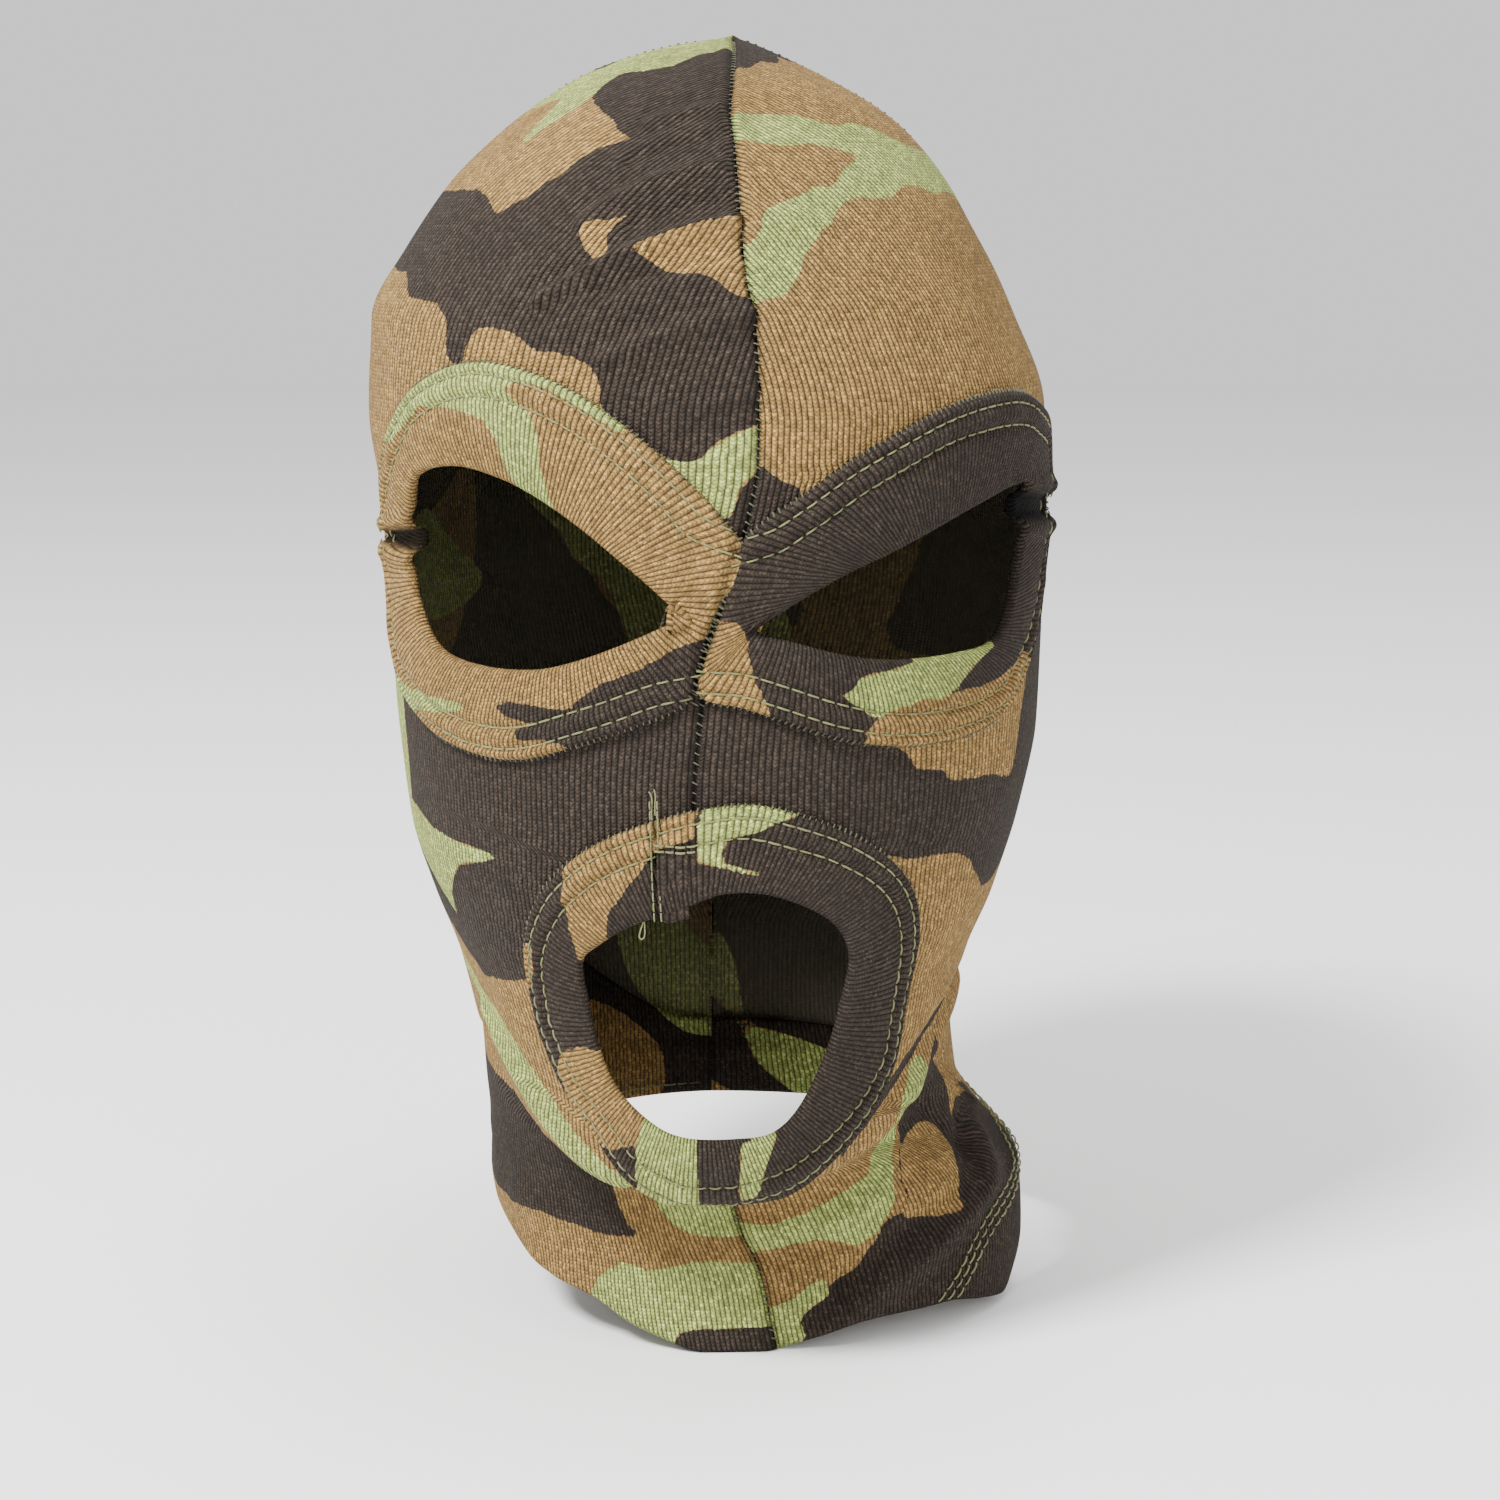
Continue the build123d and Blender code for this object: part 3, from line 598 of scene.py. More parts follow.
def thicken(obj, thickness, inner_material=0):
    """Give a sheet its thickness, inwards from the face it was drawn on."""
    mod = obj.modifiers.new("Cloth thickness", "SOLIDIFY")
    mod.thickness = thickness
    mod.offset = -1
    mod.use_even_offset = False
    mod.material_offset = inner_material
    return bake_modifiers(obj)


def merge_close(obj, distance):
    """Points closer together than this become one."""
    b = bmesh.new()
    b.from_mesh(obj.data)
    bmesh.ops.remove_doubles(b, verts=b.verts, dist=distance)
    b.to_mesh(obj.data)
    b.free()


def finish_piece(obj, node):
    """Hide the piece of the frame that this one stands for. Nothing moves, so it rides on the root."""
    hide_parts(node)
    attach(obj, "root")
    return obj


# ---- Hood panels ------------------------------------------------------------------------

FOLD_RADIUS = 1.3  # of the turned-up hem
HEM_DEPTH = 20.0
PANEL_UNDER_BAND = 9.0  # how far the panel's cut edge reaches in under a band
PANEL_ROUND = 260  # about how far it is round one panel, in millimetres, which sets its columns
INNER_ROWS, FOLD_ROWS = 18, 9  # of the hem inside, and round its fold
INSIDE_SHIFT = 40  # added to the height inside the hem, so that its stitches get other shades
SIDE = 90  # degrees from straight ahead to the side of the head
JAW_TOP = 70.0  # below this height the ribs are counted as at it


def wale_count(theta, v, turn, pitch):
    """Which rib a point lies on, counted from the face towards the back. The grid's rows run the same way."""
    p = head_point(theta, v)
    step = np.linalg.norm(np.diff(p, axis=1), axis=2)
    run = np.concatenate([np.zeros((len(p), 1)), np.cumsum(step, axis=1)], axis=1)
    around = turn * theta
    side = np.array([np.interp(SIDE, a, r) for a, r in zip(around, run)])[:, None]
    end = run[:, -1:]
    at_front = np.clip(run / np.maximum(side, 1e-6), 0, 1)
    at_back = np.clip((run - side) / np.maximum(end - side, 1e-6), 0, 1)
    low = np.maximum(v, JAW_TOP)
    ahead = profile(3, low) * FRONT * (1 - at_front)
    behind = profile(4, low) * BACK * at_back
    return np.where(around < SIDE, FRONT - ahead, FRONT + behind) / pitch


def hood_grid(turn, step):
    """Places over one panel, row by row: down inside the hem, round its fold, and up to the crown."""
    columns = int(PANEL_ROUND / step)
    t = np.linspace(0, 1, columns)
    start = seam_angle(2.0)
    hem_theta = start + (turn * 180 - start) * t
    lowest, tuck = hem_fold(hem_theta), hem_tuck(hem_theta)
    half_fold = FOLD_RADIUS * math.pi / 2
    rows = []
    for share in np.linspace(1, 0, INNER_ROWS)[:-1]:
        run = (tuck + HEM_DEPTH - half_fold) * share
        rows.append((lowest + FOLD_RADIUS + run, -2 * FOLD_RADIUS))
    for a in np.linspace(-math.pi / 2, math.pi / 2, FOLD_ROWS):
        level = lowest + FOLD_RADIUS - FOLD_RADIUS * math.cos(a)
        rows.append((level, -FOLD_RADIUS + FOLD_RADIUS * math.sin(a)))
    for share in np.linspace(0, 1, int(V_TOP / step))[1:]:
        rows.append((lowest + FOLD_RADIUS + (V_TOP - lowest - FOLD_RADIUS) * share, 0.0))
    v = np.array([level for level, _ in rows])
    lift = np.repeat([[height] for _, height in rows], columns, axis=1)
    seam = seam_angle(v)
    return seam + (turn * 180 - seam) * t[None, :], v, lift


def cut_for_bands(theta, v, holes, step):
    """Pull the rim onto the cut edges under the bands, and say how far inside a cut each place lies."""
    s = theta * ACROSS
    inside = np.full(v.shape, -1e9)
    aside = 0.4  # how far to each side the distance is read for its slope
    for hole in holes:
        outline = closed_curve(hole, 240)
        d = depth_inside(outline, s, v) - PANEL_UNDER_BAND
        near = (d > 0) & (d < 3 * step)
        slope_s = (depth_inside(outline, s + aside, v) - depth_inside(outline, s - aside, v)) / (2 * aside)
        slope_v = (depth_inside(outline, s, v + aside) - depth_inside(outline, s, v - aside)) / (2 * aside)
        theta = np.where(near, theta - d * slope_s / ACROSS, theta)
        v = np.where(near, v - d * slope_v, v)
        inside = np.maximum(inside, d)
    return theta, v, inside


def hood_relief(theta, v, shown, turn, lines, sizes):
    """How far the cloth stands off the head form, and how close to a seam it is, up to 1, which sets the
    painted shade along the seam.
    """
    s = theta * ACROSS
    narrowing = np.clip((V_TOP - v) / 40, 0.1, 1)
    from_seam = np.abs(theta - seam_angle(v)) * ACROSS * narrowing
    from_back = np.abs(turn * theta - 180) * ACROSS * narrowing
    nearest = np.minimum(from_seam, from_back)
    relief = -sizes.seam_depth / MM * np.exp(-((nearest / 1.5) ** 2))
    relief += 0.35 * np.exp(-(((nearest - 3.2) / 1.6) ** 2))  # a low ridge beside the seam
    folds = wrinkles(lines, s, v, sizes.wrinkle_depth) * np.clip((V_TOP - v) / 20, 0, 1)
    relief += folds
    relief += 0.28 * swirl(s, v, 0.4, 46, 2.0) * np.clip((V_TOP - v) / 30, 0, 1)
    if turn > 0:  # the hem's rows of stitches draw the cloth in
        hem_row = distance_to_line(HEM_ROW, s - 1.6, v + 1.6)
        relief -= 0.3 * np.exp(-((hem_row / 3.6) ** 2))
    return np.where(shown, relief, folds - 0.3), np.exp(-((nearest / 1.1) ** 2))


def hood_panel(name, turn, patches, lines, holes, context):
    """One half of the hood: turn is 1 on the wearer's left and -1 on the right."""
    sizes = context.scene.mask_sizes
    step = sizes.mesh_step / MM
    theta, v, lift = hood_grid(turn, step)
    theta, v, inside = cut_for_bands(theta, v, holes, step)
    shown = lift > -0.1
    relief, crease_shade = hood_relief(theta, v, shown, turn, lines, sizes)
    points = head_point(theta, v) + head_normal(theta, v) * (lift + relief)[..., None]

    quads = grid_faces(*v.shape)
    gone = (inside > 0).ravel()
    quads = quads[~gone[quads].all(1)]
    if turn < 0:
        quads = quads[:, ::-1]
    used = np.unique(quads)
    renumber = np.full(v.size, -1)
    renumber[used] = np.arange(len(used))
    wale = wale_count(theta, v, turn, sizes.rib_pitch / MM)
    course = np.where(shown, v, v + INSIDE_SHIFT) / (sizes.stitch_height / MM)
    knit = np.stack([wale, course, np.zeros(v.shape)], -1)
    obj = new_object(
        name,
        points.reshape(-1, 3)[used],
        renumber[quads].tolist(),
        {
            "knit": knit.reshape(-1, 3)[used],
            "camo": camouflage(patches, theta, v).reshape(-1, 3)[used],
            "crease_shade": crease_shade.ravel()[used],
        },
        [
            knit_material("Camouflage rib knit", context),
            knit_material("Rib knit, wrong side", context, pale=0.35),
        ],
    )
    merge_close(obj, 0.00005)
    thicken(obj, sizes.cloth_thickness, inner_material=1)
    return obj


# ---- Bands ------------------------------------------------------------------------------


def by_angle(curve, angles):
    """Points of a closed curve at each angle round its middle, squared up to its own size."""
    middle = (curve.max(0) + curve.min(0)) / 2
    half = (curve.max(0) - curve.min(0)) / 2
    a = np.arctan2((curve[:, 1] - middle[1]) / half[1], (curve[:, 0] - middle[0]) / half[0])
    order = np.argsort(a)
    a, c = a[order], curve[order]
    a = np.concatenate([a - 2 * math.pi, a, a + 2 * math.pi])
    c = np.vstack([c, c, c])
    return np.stack([np.interp(angles, a, c[:, j]) for j in (0, 1)], -1)


def loop_share(points):
    """How far round a closed line each point is, from 0 to 1."""
    step = np.linalg.norm(np.roll(points, -1, axis=0) - points, axis=1)
    return np.concatenate([[0], np.cumsum(step)[:-1]]) / step.sum()


def relax(values, times):
    """Even out the values round a closed line."""
    for _ in range(times):
        values = (np.roll(values, 1, 0) + 2 * values + np.roll(values, -1, 0)) / 4
    return values


class Band:
    """A strip folded double round an opening: places on it by d, the distance in from its outer edge."""

    def __init__(self, outer, hole, count):
        fine = np.linspace(-math.pi, math.pi, 1200, endpoint=False)
        o, h = closed_curve(outer, FINE), closed_curve(hole, FINE)
        a, b = by_angle(o, fine), by_angle(h, fine)
        share_a, share_b = loop_share(a), loop_share(b)
        even_share = 0.5 * (share_a + share_b)  # keeps the ribs from fanning out too much at a corner
        b = np.stack([np.interp(even_share, share_b, b[:, j]) for j in (0, 1)], -1)
        mid = (a + b) / 2
        ring = np.vstack([mid, mid[:1]])
        run = np.concatenate([[0], np.cumsum(np.linalg.norm(np.diff(ring, axis=0), axis=1))])
        self.length = run[-1]
        whole = np.append(fine, math.pi)
        even = np.interp(np.linspace(0, run[-1], count, endpoint=False), run, whole)

        def pick(c):
            return np.stack([np.interp(even, whole, np.append(c[:, j], c[0, j])) for j in (0, 1)], -1)

        self.outer, self.hole = relax(pick(a), 4), relax(pick(b), 3)
        self.width = np.linalg.norm(self.hole - self.outer, axis=1)
        self.count = count
        self.along = np.arange(count) / count * self.length

    def place(self, d):
        """(s, v) at distance d in from the outer edge, for every point round."""
        share = (d / self.width)[:, None]
        return self.outer + (self.hole - self.outer) * share


BAND_RISE = 2.5  # how far a band's face stands off the head form
EDGE_RISE = 0.5  # and its cut edge, under the overlock thread
BAND_ROLL = 1.25  # radius of its folded edge round the opening
BAND_LAYER = 0.9  # thickness of its cloth
SEWN_WIDTH = 8.4  # the outer part, which holds the rows of stitches
INNER_STEPS, ROLL_STEPS, UNDER_STEPS = 14, 9, 8  # rows from there to the fold, round it, and back under
ROW_PLACES = (2.6, 7.0)  # middles of the topstitching rows, in from the outer edge
PINCH_LIP = 1.6  # how far outside a pinch its raised lip is, and how wide


def pinch_place(pinch, s, v):
    """Distance from the middle of a pinch, how far it gapes there, and the share of the way out along it."""
    line, at_hole, at_edge = pinch
    (x0, y0), (x1, y1) = np.array(line, float) * (ACROSS, 1)
    t = np.clip(((s - x0) * (x1 - x0) + (v - y0) * (y1 - y0)) / ((x1 - x0) ** 2 + (y1 - y0) ** 2), 0, 1)
    return distance_to_line(line, s, v), (at_hole + (at_edge - at_hole) * t) / 2, t


def band_lift(d, width, s, v, along, pinch, rows_from=None):
    """How far the band's face stands off the head form. Its rows follow rows_from, or its own outer edge."""
    from_line = d if rows_from is None else depth_inside(rows_from, s, v)
    h = EDGE_RISE + (BAND_RISE - EDGE_RISE) * (1 - np.exp(-d / 0.55))
    for row in ROW_PLACES:
        h = h - 0.6 * np.exp(-(((from_line - row) / 0.7) ** 2))
    middle = (ROW_PLACES[0] + ROW_PLACES[1]) / 2
    h = h + 0.35 * np.exp(-(((from_line - middle) / 1.3) ** 2))
    h = h + 0.5 * np.sin(np.clip((d - 8.0) / np.maximum(width - 8.0, 1), 0, 1) * math.pi)
    pucker = np.sin(along / 2.6 + 2 * np.sin(along / 9.0))  # small gathers between the two rows
    h = h + 0.32 * pucker * np.exp(-(((from_line - middle) / 2.2) ** 2))
    return h + pinch_lift(pinch, s, v)


def pinch_lift(pinch, s, v):
    """How far a pinch pushes the cloth in at its middle, and out at its lips."""
    if not pinch:
        return 0.0
    away, half, out = pinch_place(pinch, s, v)
    pushed_in = (3.2 - 2.0 * out) * (1 - smooth_step(half * 0.4, half * 1.15, away))
    return np.exp(-(((away - half - PINCH_LIP) / PINCH_LIP) ** 2)) - pushed_in


def band_rows(band):
    """The rows of a band's cloth, each by its distance in, and its height where the face doesn't set it."""
    rows = [(np.full(band.count, d), None) for d in (0, 0.25, 0.6, 1.1, 1.6, *np.arange(2.1, 8.6, 0.42))]
    to_fold = band.width - BAND_ROLL
    for k in range(1, INNER_STEPS + 1):
        rows.append((SEWN_WIDTH + (to_fold - SEWN_WIDTH) * k / INNER_STEPS, None))
    for a in np.linspace(0, math.pi, ROLL_STEPS)[1:]:
        rows.append((to_fold + BAND_ROLL * math.sin(a), BAND_RISE - BAND_ROLL + BAND_ROLL * math.cos(a)))
    for k in range(1, UNDER_STEPS + 1):
        share = k / UNDER_STEPS
        rows.append((to_fold + (0.6 - band.width + BAND_ROLL) * share, 0.15 * share))
    return rows


def band_grid(band, pinch, rows_from):
    """(s, v), height and distance run across the strip, for every place on a band's cloth."""
    s, v, lift, across = [], [], [], []
    run = np.zeros(band.count)
    to_fold = band.width - BAND_ROLL
    at_fold = band_lift(to_fold, band.width, *band.place(to_fold).T, band.along, pinch, rows_from)
    before = None
    for d, h in band_rows(band):
        p = band.place(d)
        if h is None:
            h = band_lift(d, band.width, p[:, 0], p[:, 1], band.along, pinch, rows_from)
        else:
            h = np.full(band.count, h)
            pushed = pinch_lift(pinch, p[:, 0], p[:, 1])
            h = h + (at_fold - BAND_RISE - pushed) * np.clip(h / BAND_RISE, 0, 1) + pushed
        if before is not None:
            run = run + np.hypot(d - before[0], h - before[1])
        before = (d, h)
        s.append(p[:, 0])
        v.append(p[:, 1])
        lift.append(h)
        across.append(run)
    return (np.array(a) for a in (s, v, lift, across))


def band_piece(name, band, patches, pinch, context, seams=(), rows_from=None):
    """A strip folded double round an opening, sewn through twice and rolled at its inner edge."""
    sizes = context.scene.mask_sizes
    s, v, lift, across = band_grid(band, pinch, rows_from)
    theta = s / ACROSS
    # painted shade along the seams' dips, and painted shadow deep in a pinch
    crease_shade = np.zeros(theta.shape)
    for line in seams:
        away = distance_to_line(line, s, v)
        lift = lift - 0.9 * np.exp(-((away / 1.1) ** 2)) * np.clip(lift, 0, 1)
        crease_shade = np.maximum(crease_shade, np.exp(-((away / 0.9) ** 2)))
    # painted shadow in the pinch's pocket, nearly black at its middle
    if pinch:
        away, half, _ = pinch_place(pinch, s, v)
        crease_shade = np.maximum(crease_shade, 2.5 * (1 - smooth_step(half * 0.6, half * 1.15, away)))
    out = head_normal(theta, v)
    p = (head_point(theta, v) + out * lift[..., None]).reshape(-1, 3)
    n = band.count
    quads = grid_faces(*theta.shape, closed=True)
    a, b, _, c = quads[n * 8 + 3]  # a face on the outside shows which way they all turn
    if np.cross(p[b] - p[a], p[c] - p[a]) @ out.reshape(-1, 3)[a] < 0:
        quads = quads[:, ::-1]
    ribs = 2 * round(band.length / (sizes.band_rib_pitch / MM) / 2)
    there_and_back = np.abs(2 * np.arange(n) / n - 1)  # the count joins up with itself
    wale = np.broadcast_to(there_and_back * ribs / 2, theta.shape)
    knit = np.stack([wale, across / (sizes.stitch_height / MM), np.zeros(theta.shape)], -1)
    camo = camouflage(patches, theta, v, round_the_back=False)
    obj = new_object(
        name, p, quads.tolist(),
        {"knit": knit.reshape(-1, 3), "camo": camo.reshape(-1, 3), "crease_shade": crease_shade.ravel()},
        [knit_material("Camouflage band knit", context)],
    )
    return thicken(obj, BAND_LAYER * MM)


# ---- Shading ----------------------------------------------------------------------------


class Value:
    """A number in a shader, used like any other number."""

    def __init__(self, net, socket):
        self.net, self.socket = net, socket

    def _do(self, operation, *others):
        return self.net.node("ShaderNodeMath", {"operation": operation}, [self, *others])

    def __add__(self, o): return self._do("ADD", o)
    def __mul__(self, o): return self._do("MULTIPLY", o)
    def __sub__(self, o): return self._do("SUBTRACT", o)
    def __truediv__(self, o): return self._do("DIVIDE", o)
    def __pow__(self, o): return self._do("POWER", o)
    def __neg__(self): return self._do("MULTIPLY", -1.0)
    def __rsub__(self, o): return (-self) + o
    def __rtruediv__(self, o): return self.net.node("ShaderNodeMath", {"operation": "DIVIDE"}, [o, self])
    __radd__, __rmul__ = __add__, __mul__

    def fraction(self): return self._do("FRACT")
    def size(self): return self._do("ABSOLUTE")
    def sine(self): return self._do("SINE")
    def floor(self): return self._do("FLOOR")
    def highest(self, o): return self._do("MAXIMUM", o)

    def between(self, low, high, bottom=0.0, top=1.0):
        """A smooth ramp from bottom to top as the value goes from low to high."""
        return self.net.node(
            "ShaderNodeMapRange", {"interpolation_type": "SMOOTHSTEP"}, [self, low, high, bottom, top]
        )


class Shading:
    """A material's nodes, made one call at a time."""

    def __init__(self, name):
        self.material = bpy.data.materials.new(name)
        self.material.use_nodes = True
        self.tree = self.material.node_tree
        self.tree.nodes.clear()

    def node(self, kind, settings, inputs, out=0):
        """inputs is a list by place or a dict by name; each is a value or another node's result."""
        made = self.tree.nodes.new(kind)
        for key, value in settings.items():
            setattr(made, key, value)
        pairs = inputs.items() if isinstance(inputs, dict) else enumerate(inputs)
        for key, value in pairs:
            if value is None:
                continue
            if isinstance(value, Value):
                self.tree.links.new(value.socket, made.inputs[key])
            else:
                made.inputs[key].default_value = value
        return Value(self, made.outputs[out]) if made.outputs else None

    def attribute(self, name):
        """The three parts of a vector attribute."""
        found = self.node("ShaderNodeAttribute", {"attribute_name": name}, [], "Vector")
        return [self.node("ShaderNodeSeparateXYZ", {}, [found], k) for k in range(3)]

    def number(self, name):
        """An attribute that is one number."""
        return self.node("ShaderNodeAttribute", {"attribute_name": name}, [], "Fac")

    def noise(self, where, scale, detail=2.0, roughness=0.5):
        return self.node(
            "ShaderNodeTexNoise", {},
            {"Vector": where, "Scale": scale, "Detail": detail, "Roughness": roughness}, 0,
        )

    def mix(self, share, a, b, blend="MIX"):
        settings = {"data_type": "RGBA", "blend_type": blend}
        return self.node("ShaderNodeMix", settings, {0: share, 6: a, 7: b}, 2)

    def surface(self, **inputs):
        shader = self.node("ShaderNodeBsdfPrincipled", {}, inputs)
        self.node("ShaderNodeOutputMaterial", {}, [shader])
        return self.material


UNPRINTED = (0.30, 0.28, 0.20, 1)  # the yarn's own colour


def knit_material(name, context, pale=0.0):
    """Rib knit printed in three colours, with painted shade in its rib grooves, between its stitches and in
    seams and pinches, and painted highlights on its hairs. On the wrong side the print shows paler.
    """
    if name in bpy.data.materials:
        return bpy.data.materials[name]
    colours = context.scene.mask_colours
    m = Shading(name)
    place = m.node("ShaderNodeTexCoord", {}, [], "Object")
    wale, course, _ = m.attribute("knit")
    tan, dark, green = m.attribute("camo")

    # the print's edges wander a little, stitch by stitch
    wander = (m.noise(place, 900.0, 1.0) - 0.5) * 2.2 + (m.noise(place, 220.0, 1.0) - 0.5) * 2.0
    is_dark = (dark - tan.highest(green) + wander).between(-0.25, 0.25)
    is_green = (green - tan.highest(dark) + wander).between(-0.25, 0.25)
    colour = m.mix(is_dark, tuple(colours.tan) + (1,), tuple(colours.dark) + (1,))
    colour = m.mix(is_green, colour, tuple(colours.green) + (1,))

    # one rib is a column of V stitches between two grooves
    rib = wale.fraction()
    ridge = (rib * math.pi).sine()
    slant = (rib * 2.0 - 1.0).size()
    shift = m.node("ShaderNodeTexWhiteNoise", {"noise_dimensions": "1D"}, {"W": wale.floor()}, 0)
    # each V stitch: its shape raises the bump, and painted shade darkens the colour between stitches
    stitch = ((course + slant * -0.55 + shift * 0.35).fraction() * math.pi).sine()
    fuzz = m.noise(place, 3200.0, 2.0, 0.7)
    blotch = m.noise(place, 60.0, 2.0)
    # painted shade: the colour is darker in the grooves between the ribs
    groove_shade = ridge.between(0.0, 0.75)
    stitch_place = m.node("ShaderNodeCombineXYZ", {}, [(wale * 2.0).floor(), course.floor(), 0.0])
    cell = m.node("ShaderNodeTexWhiteNoise", {"noise_dimensions": "2D"}, {"Vector": stitch_place}, 0)
    # painted shade in the seams and painted shadow in the pinches, read from the mesh
    crease_shade = m.number("crease_shade")
    # the colour is multiplied by painted shade in the rib grooves, between the V stitches and in seams and
    # pinches, and by the yarn's own uneven tone
    shade = (groove_shade * 0.78 + 0.30) * (stitch * 0.40 + 0.70) * (fuzz * 0.8 + 0.60) * (cell * 0.70 + 0.65)
    shade = shade * (blotch * 0.3 + 0.85) * (crease_shade * -0.38 + 1.0)
    shade = shade * (fuzz * cell).between(0.36, 0.66, 1.0, 1.55)  # painted highlight where short hairs catch the light
    grey = m.node("ShaderNodeCombineXYZ", {}, [shade, shade, shade])
    colour = m.mix(1.0, colour, grey, "MULTIPLY")
    if pale:
        colour = m.mix(pale, colour, UNPRINTED)
    height = ridge ** 0.7 * 0.70 + ridge * stitch * 0.34 + fuzz * 0.26
    bump = m.node("ShaderNodeBump", {}, {"Strength": 0.95, "Distance": 0.0008, "Height": height}, 0)
    return m.surface(**{"Base Color": colour, "Roughness": 0.92, "Specular IOR Level": 0.18, "Normal": bump})


def thread_material(name, colour):
    """Sewing thread, a little uneven along its length."""
    if name in bpy.data.materials:
        return bpy.data.materials[name]
    m = Shading(name)
    place = m.node("ShaderNodeTexCoord", {}, [], "Object")
    grain = m.noise(place, 2600.0, 2.0, 0.7)
    patchy = m.noise(place, 130.0, 1.0)
    shade = (grain * 0.9 + 0.55) * (patchy * 0.6 + 0.7)
    grey = m.node("ShaderNodeCombineXYZ", {}, [shade, shade, shade])
    bump = m.node("ShaderNodeBump", {}, {"Strength": 0.5, "Distance": 0.0002, "Height": grain}, 0)
    return m.surface(**{
        "Base Color": m.mix(1.0, tuple(colour) + (1,), grey, "MULTIPLY"),
        "Roughness": 0.7, "Specular IOR Level": 0.3, "Sheen Weight": 0.1, "Normal": bump,
    })


def plain_material(name, colour, roughness):
    """One even colour."""
    return Shading(name).surface(**{"Base Color": tuple(colour) + (1,), "Roughness": roughness})


# ---- Stitches ---------------------------------------------------------------------------

STITCH_INPUTS = [
    ("Pitch", "NodeSocketFloat", 0.003),
    ("Along", "NodeSocketFloat", 0.002),
    ("Across", "NodeSocketFloat", 0.0),
    ("Arch", "NodeSocketFloat", 0.0004),
    ("Thickness", "NodeSocketFloat", 0.0005),
    ("Unevenness", "NodeSocketFloat", 0.12),
    ("Seed", "NodeSocketInt", 1),
    ("Thread", "NodeSocketMaterial", None),
]


def stitch_nodes():
    """A line of stitches: an arched stitch at every pitch along the line, standing on its "up"."""
    if "Row of stitches" in bpy.data.node_groups:
        return bpy.data.node_groups["Row of stitches"]
    tree = bpy.data.node_groups.new("Row of stitches", "GeometryNodeTree")
    face = tree.interface
    face.new_socket("Line", in_out="INPUT", socket_type="NodeSocketGeometry")
    face.new_socket("Stitches", in_out="OUTPUT", socket_type="NodeSocketGeometry")
    for name, kind, default in STITCH_INPUTS:
        socket = face.new_socket(name, in_out="INPUT", socket_type=kind)
        if default is not None:
            socket.default_value = default
    given = tree.nodes.new("NodeGroupInput").outputs

    def add(kind, settings=(), out=0, **inputs):
        made = tree.nodes.new(kind)
        for key, value in dict(settings).items():
            setattr(made, key, value)
        for key, value in inputs.items():
            key = key.replace("_", " ")
            socket = made.inputs[int(key[1:])] if key[1:].isdigit() else made.inputs[key]
            if isinstance(value, bpy.types.NodeSocket):
                tree.links.new(value, socket)
            else:
                socket.default_value = value
        return made.outputs[out]

    def maths(operation, a, b):
        return add("ShaderNodeMath", {"operation": operation}, i0=a, i1=b)

    half_along = maths("MULTIPLY", given["Along"], 0.5)
    half_across = maths("MULTIPLY", given["Across"], 0.5)
    dip = maths("MULTIPLY", given["Arch"], -0.6)
    back_along, back_across = (maths("MULTIPLY", half, -1.0) for half in (half_along, half_across))
    start = add("ShaderNodeCombineXYZ", X=back_along, Y=back_across, Z=dip)
    end = add("ShaderNodeCombineXYZ", X=half_along, Y=half_across, Z=dip)
    top = add("ShaderNodeCombineXYZ", X=0.0, Y=0.0, Z=maths("MULTIPLY", given["Arch"], 1.6))
    line = add("GeometryNodeCurveQuadraticBezier", Resolution=5, Start=start, Middle=top, End=end)
    radius = maths("MULTIPLY", given["Thickness"], 0.5)
    ring = add("GeometryNodeCurvePrimitiveCircle", Resolution=6, Radius=radius)
    stitch = add("GeometryNodeCurveToMesh", Curve=line, Profile_Curve=ring, Fill_Caps=True)

    curve = add("GeometryNodeMeshToCurve", Mesh=given["Line"])
    resample = add("GeometryNodeResampleCurve", {"mode": "LENGTH"}, Curve=curve, Length=given["Pitch"])
    tangent = add("GeometryNodeInputTangent")
    up = add("GeometryNodeInputNamedAttribute", {"data_type": "FLOAT_VECTOR"}, Name="up")
    facing = add("FunctionNodeAlignRotationToVector", {"axis": "Z"}, Vector=up)
    turned = add(
        "FunctionNodeAlignRotationToVector", {"axis": "X", "pivot_axis": "Z"}, Rotation=facing, Vector=tangent
    )
    spread = given["Unevenness"]
    low = maths("SUBTRACT", 1.0, spread)
    high = maths("ADD", 1.0, spread)
    random = tree.nodes.new("FunctionNodeRandomValue")
    random.data_type = "FLOAT"
    floats = [s for s in random.inputs if s.type == "VALUE" and s.enabled]
    tree.links.new(low, floats[0])
    tree.links.new(high, floats[1])
    tree.links.new(given["Seed"], random.inputs["Seed"])
    scale = [s for s in random.outputs if s.enabled][0]
    placed = add(
        "GeometryNodeInstanceOnPoints", Points=resample, Instance=stitch, Rotation=turned, Scale=scale
    )
    real = add("GeometryNodeRealizeInstances", Geometry=placed)
    done = add("GeometryNodeSetMaterial", Geometry=real, Material=given["Thread"])
    tree.links.new(done, tree.nodes.new("NodeGroupOutput").inputs[0])
    return tree


